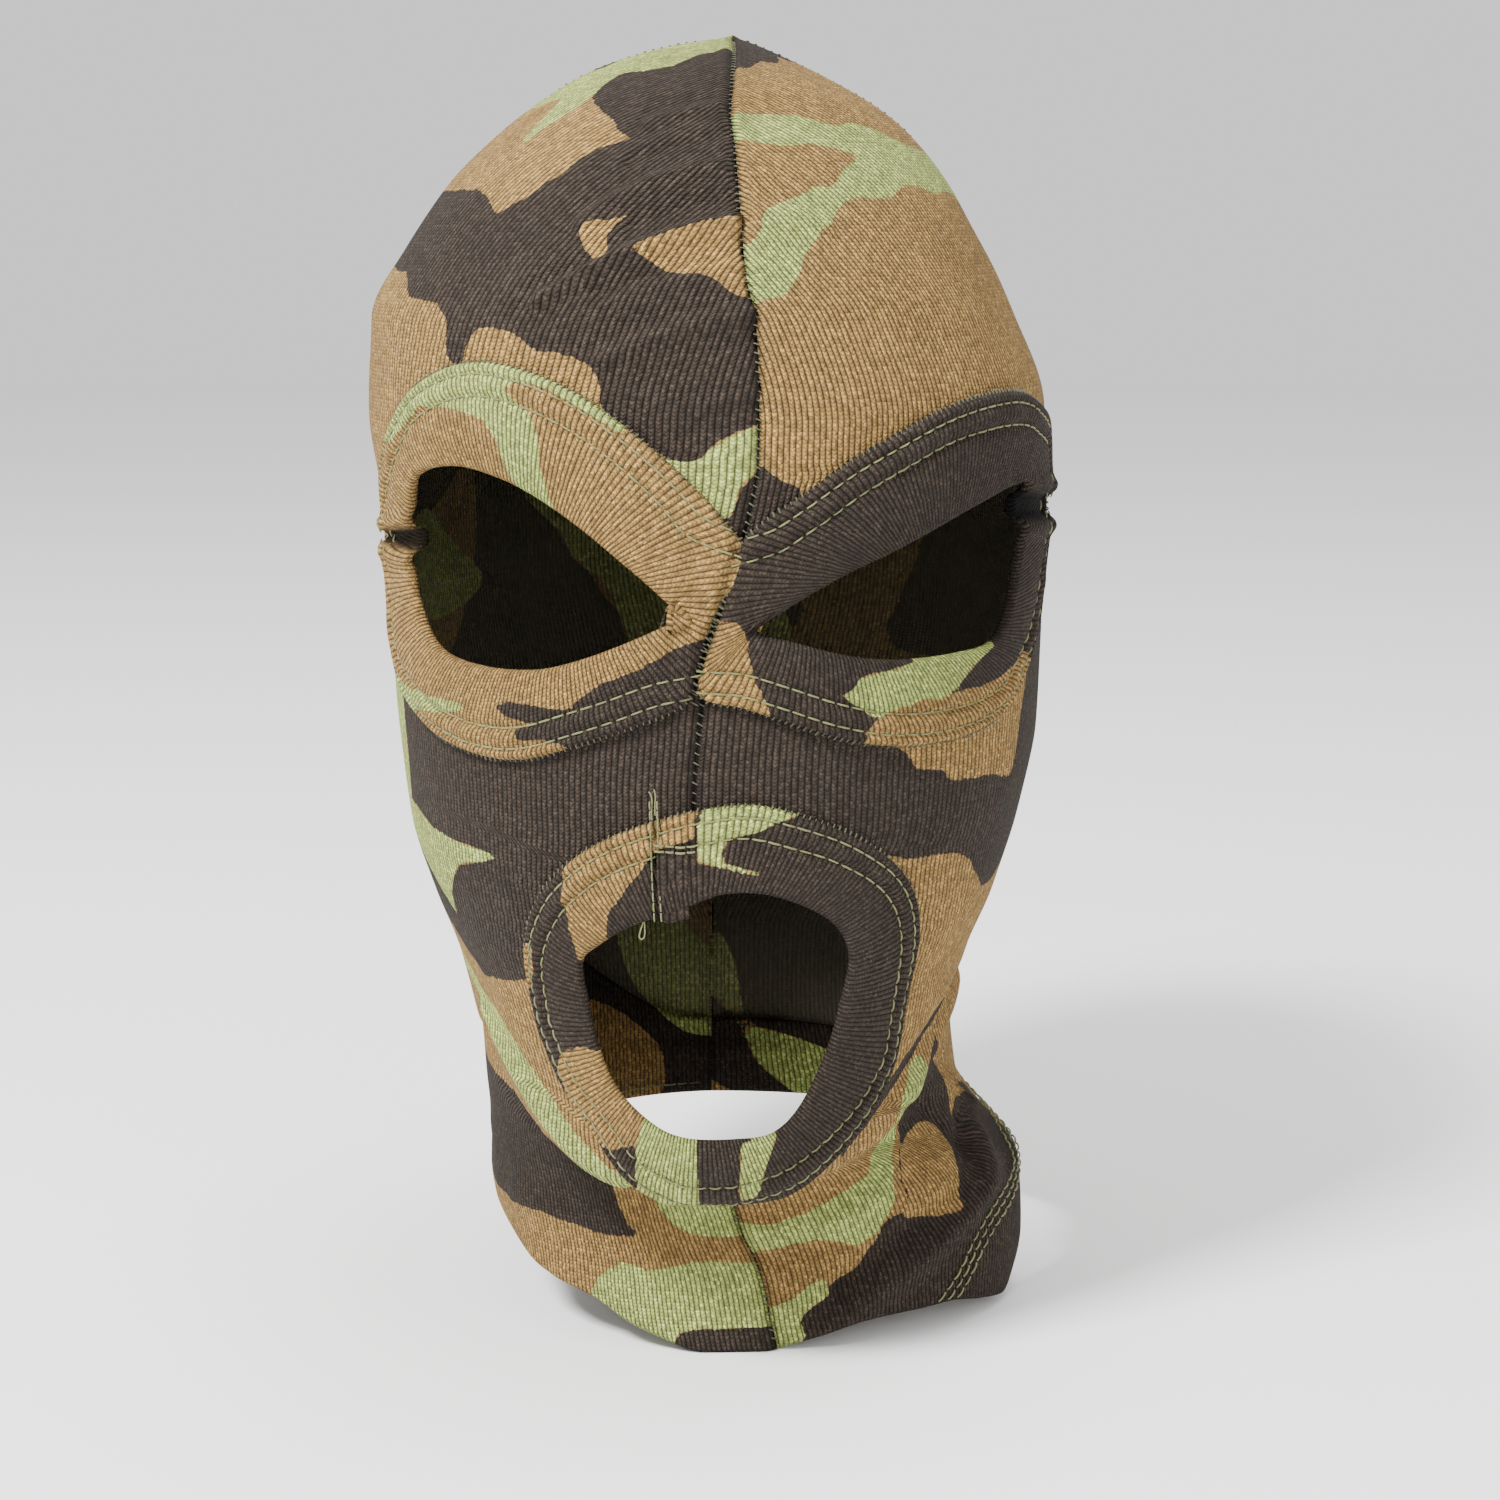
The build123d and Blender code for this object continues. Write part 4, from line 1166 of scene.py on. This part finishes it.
def stitch_line(name, points, up, closed, material, **values):
    """points in millimetres; the values are the inputs of the stitch nodes, in metres."""
    n = len(points)
    edges = [(i, (i + 1) % n) for i in range(n if closed else n - 1)]
    obj = new_object(name, points, [], {"up": up}, [material], edges)
    tree = stitch_nodes()
    mod = obj.modifiers.new("Stitches", "NODES")
    mod.node_group = tree
    given = {
        item.name: item.identifier
        for item in tree.interface.items_tree
        if item.item_type == "SOCKET" and item.in_out == "INPUT"
    }
    for key, value in {**{n: d for n, _, d in STITCH_INPUTS if d is not None}, **values}.items():
        mod[given[key]] = value
    mod[given["Thread"]] = material
    bake_modifiers(obj)
    if not len(obj.data.polygons):
        raise RuntimeError(f"{name}: no stitches were made")
    return obj


def join(name, parts):
    """Several meshes become one object."""
    for other in bpy.context.view_layer.objects:
        other.select_set(False)
    for part in parts:
        part.select_set(True)
    bpy.context.view_layer.objects.active = parts[0]
    bpy.ops.object.join()
    parts[0].name = name
    parts[0].data.name = name
    parts[0].select_set(False)
    return parts[0]


def on_cloth(theta, v, lift):
    """Points that stand off the head form by lift, and the way out of the cloth at each."""
    theta, v = np.asarray(theta, float), np.asarray(v, float)
    up = head_normal(theta, v)
    return head_point(theta, v) + up * np.broadcast_to(lift, theta.shape)[..., None], up


def strand(name, points, thickness, material):
    """A loose end of thread along points in millimetres."""
    curve = bpy.data.curves.new(name, "CURVE")
    curve.dimensions = "3D"
    curve.bevel_depth = thickness / 2
    curve.bevel_resolution = 1
    curve.use_fill_caps = True
    spline = curve.splines.new("NURBS")
    spline.points.add(len(points) - 1)
    for point, place in zip(spline.points, points):
        point.co = (*(np.asarray(place) * MM), 1)
    spline.use_endpoint_u = True
    spline.order_u = 4
    curve.materials.append(material)
    holder = bpy.data.objects.new(name, curve)
    bpy.context.scene.collection.objects.link(holder)
    graph = bpy.context.evaluated_depsgraph_get()
    mesh = bpy.data.meshes.new_from_object(holder.evaluated_get(graph), depsgraph=graph)
    obj = bpy.data.objects.new(name + " thread", mesh)
    bpy.context.scene.collection.objects.link(obj)
    bpy.data.objects.remove(holder)
    mesh.shade_smooth()
    return obj


# ---- Where the seams and bands run ------------------------------------------------------

# The seam between the two eye bands, and the mouth band's own join, from the top down.
BRIDGE = [(4.4, 186), (3.8, 181), (2.4, 174), (0.9, 166), (-0.4, 158), (-0.8, 151)]
BRIDGE_V, BRIDGE_THETA = [v for theta, v in BRIDGE[::-1]], [theta for theta, v in BRIDGE[::-1]]
MOUTH_JOIN = [(-6.4, 133), (-6.3, 122), (-6.2, 106)]
JOIN_V, JOIN_THETA = [v for theta, v in MOUTH_JOIN[::-1]], [theta for theta, v in MOUTH_JOIN[::-1]]

# The other seams' two ends, as v. Those on the crown run down from its tip on both sides.
FACE_SEAMS = {"forehead_seam": (187, V_TOP - 5), "nose_seam": (131, 151.5), "chin_seam": (3, 40)}
BACK_SEAM = (28, V_TOP - 6)
CROWN_SEAM = (V_TOP - 6, V_TOP - 52)
CROWN_SEAM_SIDE = 88.0  # degrees round
BACK_SEAM_THETA = 179.9  # just short of where theta jumps to the other side

# The highest of the hem's rows where it shows, from under the ear round to the nape.
HEM_ROW = [
    (44.5, 7.5), (49, 12.5), (54, 19), (61, 24.5), (71, 28.5), (85, 33.5), (100, 40), (120, 44), (150, 44),
    (179.5, 44),
]
HEM_ROW_GAP = 2.4

# Flat sizes of the cut cloth, in metres, before it is stretched on.
EYE_STRIP = (0.040, 0.230)
MOUTH_STRIP = (0.036, 0.225)

# Each band's outline, opening and number of places round it, and each band once it is made.
BAND_OUTLINES = {
    "right_eye": (RIGHT_EYE_OUTER, RIGHT_EYE_HOLE, 520),
    "left_eye": (LEFT_EYE_OUTER, LEFT_EYE_HOLE, 520),
    "mouth": (MOUTH_OUTER, MOUTH_HOLE, 480),
}
BANDS = {}


def band_of(key):
    if key not in BANDS:
        BANDS[key] = Band(*BAND_OUTLINES[key])
    return BANDS[key]


def past_the_bridge(outline, turn):
    """An eye band's outline pushed across the bridge seam, for the rows that end at the seam."""
    s, v = closed_curve(outline, 400).T
    seam = np.interp(v, BRIDGE_V, BRIDGE_THETA) * ACROSS
    near = 1 - smooth_step(1.5, 7.0, turn * (s - seam))
    pushed = turn * 9.0 * near * smooth_step(148, 153, v) * (1 - smooth_step(186, 193, v))
    return np.stack([s - pushed, v], -1)


def row_outline(key):
    """The line that a band's rows of stitches follow, where it isn't the band's own outer edge."""
    if key == "mouth":
        return None
    turn = -1 if key == "right_eye" else 1
    return past_the_bridge(BAND_OUTLINES[key][0], turn)


# ---- Settings ---------------------------------------------------------------------------


def length(name, description, default):
    return bpy.props.FloatProperty(
        name=name, description=description, default=default, unit="LENGTH", precision=5
    )


def colour(name, description, default):
    return bpy.props.FloatVectorProperty(
        name=name, description=description, default=default, subtype="COLOR", size=3, min=0, max=1
    )


class MaskSizes(bpy.types.PropertyGroup):
    cloth_thickness: length("Cloth thickness", "One layer of rib knit", 0.0012)
    rib_pitch: length("Hood rib pitch", "Rib to rib, measured straight back from the face", 0.00092)
    band_rib_pitch: length("Band rib pitch", "Rib to rib round a band", 0.00118)
    stitch_height: length("Knit stitch height", "One knitted row", 0.0008)
    mesh_step: length("Mesh step", "Between two points of the hood's cloth", 0.00145)
    seam_depth: length("Seam depth", "How far the cloth dips into a seam", 0.0010)
    wrinkle_depth: bpy.props.FloatProperty(
        name="Wrinkle depth", description="Share of the wrinkles' full height", default=1.0, min=0, max=2,
        subtype="FACTOR",
    )
    top_stitch: length("Topstitch length", "One stitch of the rows on the bands and hem", 0.0026)
    top_thread: length("Topstitch thread", "Its thickness", 0.00042)
    seam_stitch: length("Seam stitch spacing", "Between two threads across a seam", 0.0019)
    edge_stitch: length("Edge loop spacing", "Between two loops over a band's cut edge", 0.0014)


class MaskColours(bpy.types.PropertyGroup):
    tan: colour("Tan", "Ground colour of the print", (0.270, 0.163, 0.054))
    dark: colour("Dark", "Dark brown of the print", (0.034, 0.0245, 0.018))
    green: colour("Green", "Light green of the print", (0.318, 0.370, 0.105))
    top_thread: colour("Topstitch thread", "Olive thread on the bands and hem", (0.160, 0.165, 0.070))
    seam_thread: colour("Seam thread", "Dark thread in seams and over cut edges", (0.070, 0.070, 0.038))
    floor: colour("Floor", "Ground the mask stands on", (0.93, 0.93, 0.93))


# ---- Operators --------------------------------------------------------------------------


class Builder:
    """What every operator here shares."""

    bl_options = {"REGISTER", "UNDO"}

    def execute(self, context):
        self.build(context)
        return {"FINISHED"}


class MASK_OT_hood_panels(Builder, bpy.types.Operator):
    """Build the two knitted halves of the hood, with their hem turned up"""

    bl_idname = "mask.hood_panels"
    bl_label = "Hood panels"

    def build(self, context):
        for side, turn, patches, lines, holes in (
            ("right", -1, RIGHT_PATCHES, RIGHT_WRINKLES, [RIGHT_EYE_OUTER, MOUTH_OUTER, LEFT_EYE_OUTER]),
            ("left", 1, LEFT_PATCHES, LEFT_WRINKLES, [LEFT_EYE_OUTER, MOUTH_OUTER, RIGHT_EYE_OUTER]),
        ):
            obj = hood_panel(side + "_hood_cloth", turn, patches, lines, holes, context)
            finish_piece(obj, side + "_hood_panel")


class MASK_OT_bands(Builder, bpy.types.Operator):
    """Build the doubled bands round the two eye openings and the mouth opening"""

    bl_idname = "mask.bands"
    bl_label = "Eye and mouth bands"

    def build(self, context):
        for key, patches, pinch, seams, node, cut in (
            ("right_eye", RIGHT_BAND_PATCHES, RIGHT_PINCH, [BRIDGE], "right_eye_band", EYE_STRIP),
            ("left_eye", LEFT_BAND_PATCHES, LEFT_PINCH, [BRIDGE], "left_eye_band", EYE_STRIP),
            ("mouth", MOUTH_PATCHES, None, [MOUTH_JOIN], "mouth_band", MOUTH_STRIP),
        ):
            obj = band_piece(node + "_cloth", band_of(key), patches, pinch, context, seams, row_outline(key))
            finish_piece(obj, node)


class MASK_OT_seams(Builder, bpy.types.Operator):
    """Sew the seams down the face and the back, and the two short seams on the crown"""

    bl_idname = "mask.seams"
    bl_label = "Seams"

    def build(self, context):
        sizes, colours = context.scene.mask_sizes, context.scene.mask_colours
        thread = thread_material("Dark olive seam thread", colours.seam_thread)
        dip = -0.75 * sizes.seam_depth / MM

        runs = {}
        for node, ends in FACE_SEAMS.items():
            v = np.linspace(*ends, 90)
            runs[node] = (seam_angle(v), v, dip)
        runs["back_seam"] = (np.full(120, BACK_SEAM_THETA), np.linspace(*BACK_SEAM, 120), dip)
        for node, theta in (("left_crown_seam", CROWN_SEAM_SIDE), ("right_crown_seam", -CROWN_SEAM_SIDE)):
            runs[node] = (np.full(50, theta), np.linspace(*CROWN_SEAM, 50), 0.1)
        v = np.linspace(152, 185.5, 60)
        runs["bridge_seam"] = (np.interp(v, BRIDGE_V, BRIDGE_THETA), v, 0.9)
        for seed, (node, (theta, v, lift)) in enumerate(runs.items()):
            points, up = on_cloth(theta, v, lift)
            obj = stitch_line(
                node + "_thread", points, up, False, thread, Pitch=sizes.seam_stitch, Along=0.0006,
                Across=0.0014, Arch=0.0003, Thickness=0.00030, Seed=seed + 3, Unevenness=0.2,
            )
            finish_piece(obj, node)


class MASK_OT_edge_loops(Builder, bpy.types.Operator):
    """Overlock the cut edges of the three bands"""

    bl_idname = "mask.edge_loops"
    bl_label = "Overlocked edges"

    def build(self, context):
        sizes, colours = context.scene.mask_sizes, context.scene.mask_colours
        thread = thread_material("Dark olive overlock thread", colours.seam_thread)
        for key in BAND_OUTLINES:
            node = key + "_overlock"
            p = band_of(key).place(0.35)
            points, up = on_cloth(p[:, 0] / ACROSS, p[:, 1], 1.15)
            obj = stitch_line(
                node + "_thread", points, up, True, thread, Pitch=sizes.edge_stitch, Along=0.0004,
                Across=0.0013, Arch=0.0004, Thickness=0.00034, Seed=11, Unevenness=0.25,
            )
            finish_piece(obj, node)


class MASK_OT_topstitching(Builder, bpy.types.Operator):
    """Sew the two rows of topstitching round each band"""

    bl_idname = "mask.topstitching"
    bl_label = "Topstitching"

    def build(self, context):
        sizes, colours = context.scene.mask_sizes, context.scene.mask_colours
        thread = thread_material("Olive topstitch thread", colours.top_thread)
        for key, pinch in (("right_eye", RIGHT_PINCH), ("left_eye", LEFT_PINCH), ("mouth", None)):
            band = band_of(key)
            outline = row_outline(key)
            for row, where in (("outer", ROW_PLACES[0]), ("inner", ROW_PLACES[1])):
                node = f"{key}_topstitch_{row}"
                d = np.full(band.count, where)
                if outline is not None:  # slide each place in or out until it lies on the row
                    for _ in range(6):
                        p = band.place(d)
                        d = d + 0.8 * (where - depth_inside(outline, p[:, 0], p[:, 1]))
                p = band.place(d)
                shown = (d > 0.6) & (d < band.width - 2.0)
                lift = band_lift(d, band.width, p[:, 0], p[:, 1], band.along, pinch, outline)
                points, up = on_cloth(p[:, 0] / ACROSS, p[:, 1], lift + 0.12)
                closed = bool(shown.all())
                if not closed:
                    start = int(np.argmin(shown))  # a place that the row doesn't reach
                    order = [(start + k) % band.count for k in range(band.count)]
                    order = [k for k in order if shown[k]]
                    points, up = points[order], up[order]
                obj = stitch_line(
                    node + "_thread", points, up, closed, thread, Pitch=sizes.top_stitch * 1.3,
                    Along=sizes.top_stitch, Arch=0.00035, Thickness=sizes.top_thread, Seed=5, Unevenness=0.12,
                )
                finish_piece(obj, node)


class MASK_OT_hem_rows(Builder, bpy.types.Operator):
    """Sew the three rows that hold the turned-up hem"""

    bl_idname = "mask.hem_rows"
    bl_label = "Hem rows"

    def build(self, context):
        sizes, colours = context.scene.mask_sizes, context.scene.mask_colours
        thread = thread_material("Olive topstitch thread", colours.top_thread)
        run = np.array(HEM_ROW, float) * (ACROSS, 1)
        direction = np.gradient(run, axis=0)
        across = np.stack([-direction[:, 1], direction[:, 0]], -1)
        across = across / np.linalg.norm(direction, axis=1, keepdims=True)
        theta_in = np.linspace(-176, 34, 500)
        for gap, row in enumerate(("upper", "middle", "lower")):
            node = "hem_topstitch_" + row
            line = run - across * gap * HEM_ROW_GAP
            s = np.linspace(line[0, 0], line[-1, 0], 400)
            v = smooth_curve(line[:, 0], line[:, 1], s)
            lift = wrinkles(LEFT_WRINKLES, s, v, sizes.wrinkle_depth) + 0.2
            points, up = on_cloth(s / ACROSS, v, lift)
            on = v > hem_fold(s / ACROSS) + 1.8
            points, up = points[on], up[on]
            values = {
                "Pitch": sizes.top_stitch * 1.25, "Along": sizes.top_stitch, "Arch": 0.0003,
                "Thickness": sizes.top_thread, "Seed": 9,
            }
            parts = [stitch_line(node, points, up, False, thread, **values)]
            # where the hem is rolled under, its rows lie inside the neck
            v = hem_fold(theta_in) + np.maximum(hem_tuck(theta_in) - 16.0 - gap * HEM_ROW_GAP, 1.5) + 1.5
            points, up = on_cloth(theta_in, v, -2 * FOLD_RADIUS - 1.5)
            parts.append(stitch_line(node, points, -up, False, thread, **values))
            finish_piece(join(node + "_thread", parts), node)


# Thread left long at the mouth band's join: (theta, v, height off the head form).
LOOSE_ENDS = (
    [(-6.1, 129, 2.6), (-6.3, 131, 2.6), (-5.9, 132.6, 1.6), (-6.4, 134.2, 1.2)],
    [(-6.6, 128, 2.6), (-6.9, 130.6, 2.4), (-6.2, 132.4, 1.5), (-7.2, 133.6, 1.1)],
    [
        (-8.4, 107.4, 1.6), (-9.2, 104.6, 1.6), (-9.8, 102.9, 1.9), (-9.0, 102.2, 1.8), (-8.4, 103.6, 1.6),
        (-8.6, 106.6, 1.5),
    ],
)


class MASK_OT_mouth_join(Builder, bpy.types.Operator):
    """Join the mouth band's two ends, with the raw tab and the loose threads there"""

    bl_idname = "mask.mouth_join"
    bl_label = "Mouth band join"

    def build(self, context):
        thread = thread_material("Olive topstitch thread", context.scene.mask_colours.top_thread)
        v = np.linspace(107.5, 131, 40)
        theta = np.interp(v, JOIN_V, JOIN_THETA)
        parts = []
        for shift, seed in ((0.55, 1), (-0.55, 2)):
            points, up = on_cloth(theta + shift, v, 2.55)
            parts.append(stitch_line(
                "join", points, up, False, thread, Pitch=0.0021, Along=0.0018, Arch=0.0003,
                Thickness=0.00034, Seed=seed,
            ))
        across = np.linspace(-5.6, -1.2, 12)
        for level in (121.4, 122.6):
            points, up = on_cloth(across, np.full(12, level) + 0.15 * np.sin(across * 3), 3.35)
            parts.append(stitch_line(
                "bar", points, up, False, thread, Pitch=0.0019, Along=0.0017, Arch=0.0003,
                Thickness=0.00045, Seed=4,
            ))
        for places in LOOSE_ENDS:
            theta, v, lift = np.array(places).T
            points, _ = on_cloth(theta, v, lift)
            parts.append(strand("loose end", points, 0.0003, thread))
        parts.append(join_tab(context))
        finish_piece(join("mouth_join_stitch_thread", parts), "mouth_join_stitch")


def join_tab(context):
    """The raw end of the strip, hanging a little below the opening's edge."""
    a, b = np.meshgrid(np.linspace(-6.0, -1.6, 14), np.linspace(0, 1, 10))
    bottom = 106.6 - 0.5 * np.sin((a + 6.0) * 1.1)
    v = bottom + (124.0 - bottom) * b
    lift = 1.6 + 1.5 * np.sin(np.clip(b * 2.6, 0, 1.6)) - 0.9 * smooth_step(0.75, 1, b)
    lift = lift + 0.15 * np.sin(a * 2.1)
    points, _ = on_cloth(a, v, lift)
    knit = np.stack([a * 0.9, v / 1.1, np.zeros(a.shape)], -1).reshape(-1, 3)
    camo = camouflage(MOUTH_PATCHES, a, v, round_the_back=False).reshape(-1, 3)
    obj = new_object(
        "tab", points.reshape(-1, 3), grid_faces(*a.shape).tolist(),
        {"knit": knit, "camo": camo, "crease_shade": np.zeros(a.size)},
        [knit_material("Camouflage band knit", context)],
    )
    return thicken(obj, 1.1 * MM)


FLOOR_HALF = 4  # metres from the floor's middle to its edge
LIT_PLACE = (0.01, 0, 0.15)  # where every light points
LIGHTS = (  # name, place, watts and size
    ("Key light", (-0.75, -0.8, 1.35), 62, 0.35),
    ("Fill light", (1.3, -1.0, 0.7), 8, 1.0),
    ("Top light", (0.2, 0.2, 1.9), 16, 0.7),
)
CAMERA_PLACE = (0.010, -0.6894, 0.2486)
CAMERA_PITCH = 80  # degrees up from straight down
CAMERA_LENS = 71.66


class MASK_OT_stage(Builder, bpy.types.Operator):
    """Set the plain floor, the soft studio light and the camera"""

    bl_idname = "mask.stage"
    bl_label = "Stage"

    def build(self, context):
        scene = context.scene
        mesh = bpy.data.meshes.new("Floor")
        corners = [(x * FLOOR_HALF, y * FLOOR_HALF, 0) for x, y in ((-1, -1), (1, -1), (1, 1), (-1, 1))]
        mesh.from_pydata(corners, [], [(0, 1, 2, 3)])
        mesh.materials.append(plain_material("Pale floor", scene.mask_colours.floor, 0.9))
        floor = bpy.data.objects.new("Floor", mesh)
        scene.collection.objects.link(floor)
        world = bpy.data.worlds.new("Studio")
        world.use_nodes = True
        background = world.node_tree.nodes["Background"]
        background.inputs["Color"].default_value = (1, 1, 1, 1)
        background.inputs["Strength"].default_value = 1.0
        scene.world = world
        for name, place, watts, size in LIGHTS:
            data = bpy.data.lights.new(name, "AREA")
            data.energy, data.size = watts, size
            light = bpy.data.objects.new(name, data)
            light.location = place
            light.rotation_euler = (Vector(LIT_PLACE) - Vector(place)).to_track_quat("-Z", "Y").to_euler()
            scene.collection.objects.link(light)
        data = bpy.data.cameras.new("Camera")
        data.lens, data.sensor_width = CAMERA_LENS, 36
        camera = bpy.data.objects.new("Camera", data)
        camera.location = CAMERA_PLACE
        camera.rotation_euler = (math.radians(CAMERA_PITCH), 0, 0)
        scene.collection.objects.link(camera)
        scene.camera = camera


class MASK_PT_builder(bpy.types.Panel):
    """The face mask's settings and build steps"""

    bl_idname = "MASK_PT_builder"
    bl_label = "Camo face mask"
    bl_space_type = "VIEW_3D"
    bl_region_type = "UI"
    bl_category = "Face mask"

    def draw(self, context):
        for group in (context.scene.mask_sizes, context.scene.mask_colours):
            box = self.layout.box()
            for name in group.__annotations__:
                box.prop(group, name)
        for step in STEPS:
            self.layout.operator(step.bl_idname)


STEPS = (
    MASK_OT_hood_panels, MASK_OT_bands, MASK_OT_seams, MASK_OT_edge_loops, MASK_OT_topstitching,
    MASK_OT_hem_rows, MASK_OT_mouth_join, MASK_OT_stage,
)
CLASSES = (MaskSizes, MaskColours, *STEPS, MASK_PT_builder)


def register():
    for made in CLASSES:
        bpy.utils.register_class(made)
    bpy.types.Scene.mask_sizes = bpy.props.PointerProperty(type=MaskSizes)
    bpy.types.Scene.mask_colours = bpy.props.PointerProperty(type=MaskColours)


def unregister():
    del bpy.types.Scene.mask_sizes, bpy.types.Scene.mask_colours
    for made in reversed(CLASSES):
        bpy.utils.unregister_class(made)


def main():
    register()
    for step in STEPS:
        group, name = step.bl_idname.split(".")
        getattr(getattr(bpy.ops, group), name)()


if __name__ == "__main__":
    main()
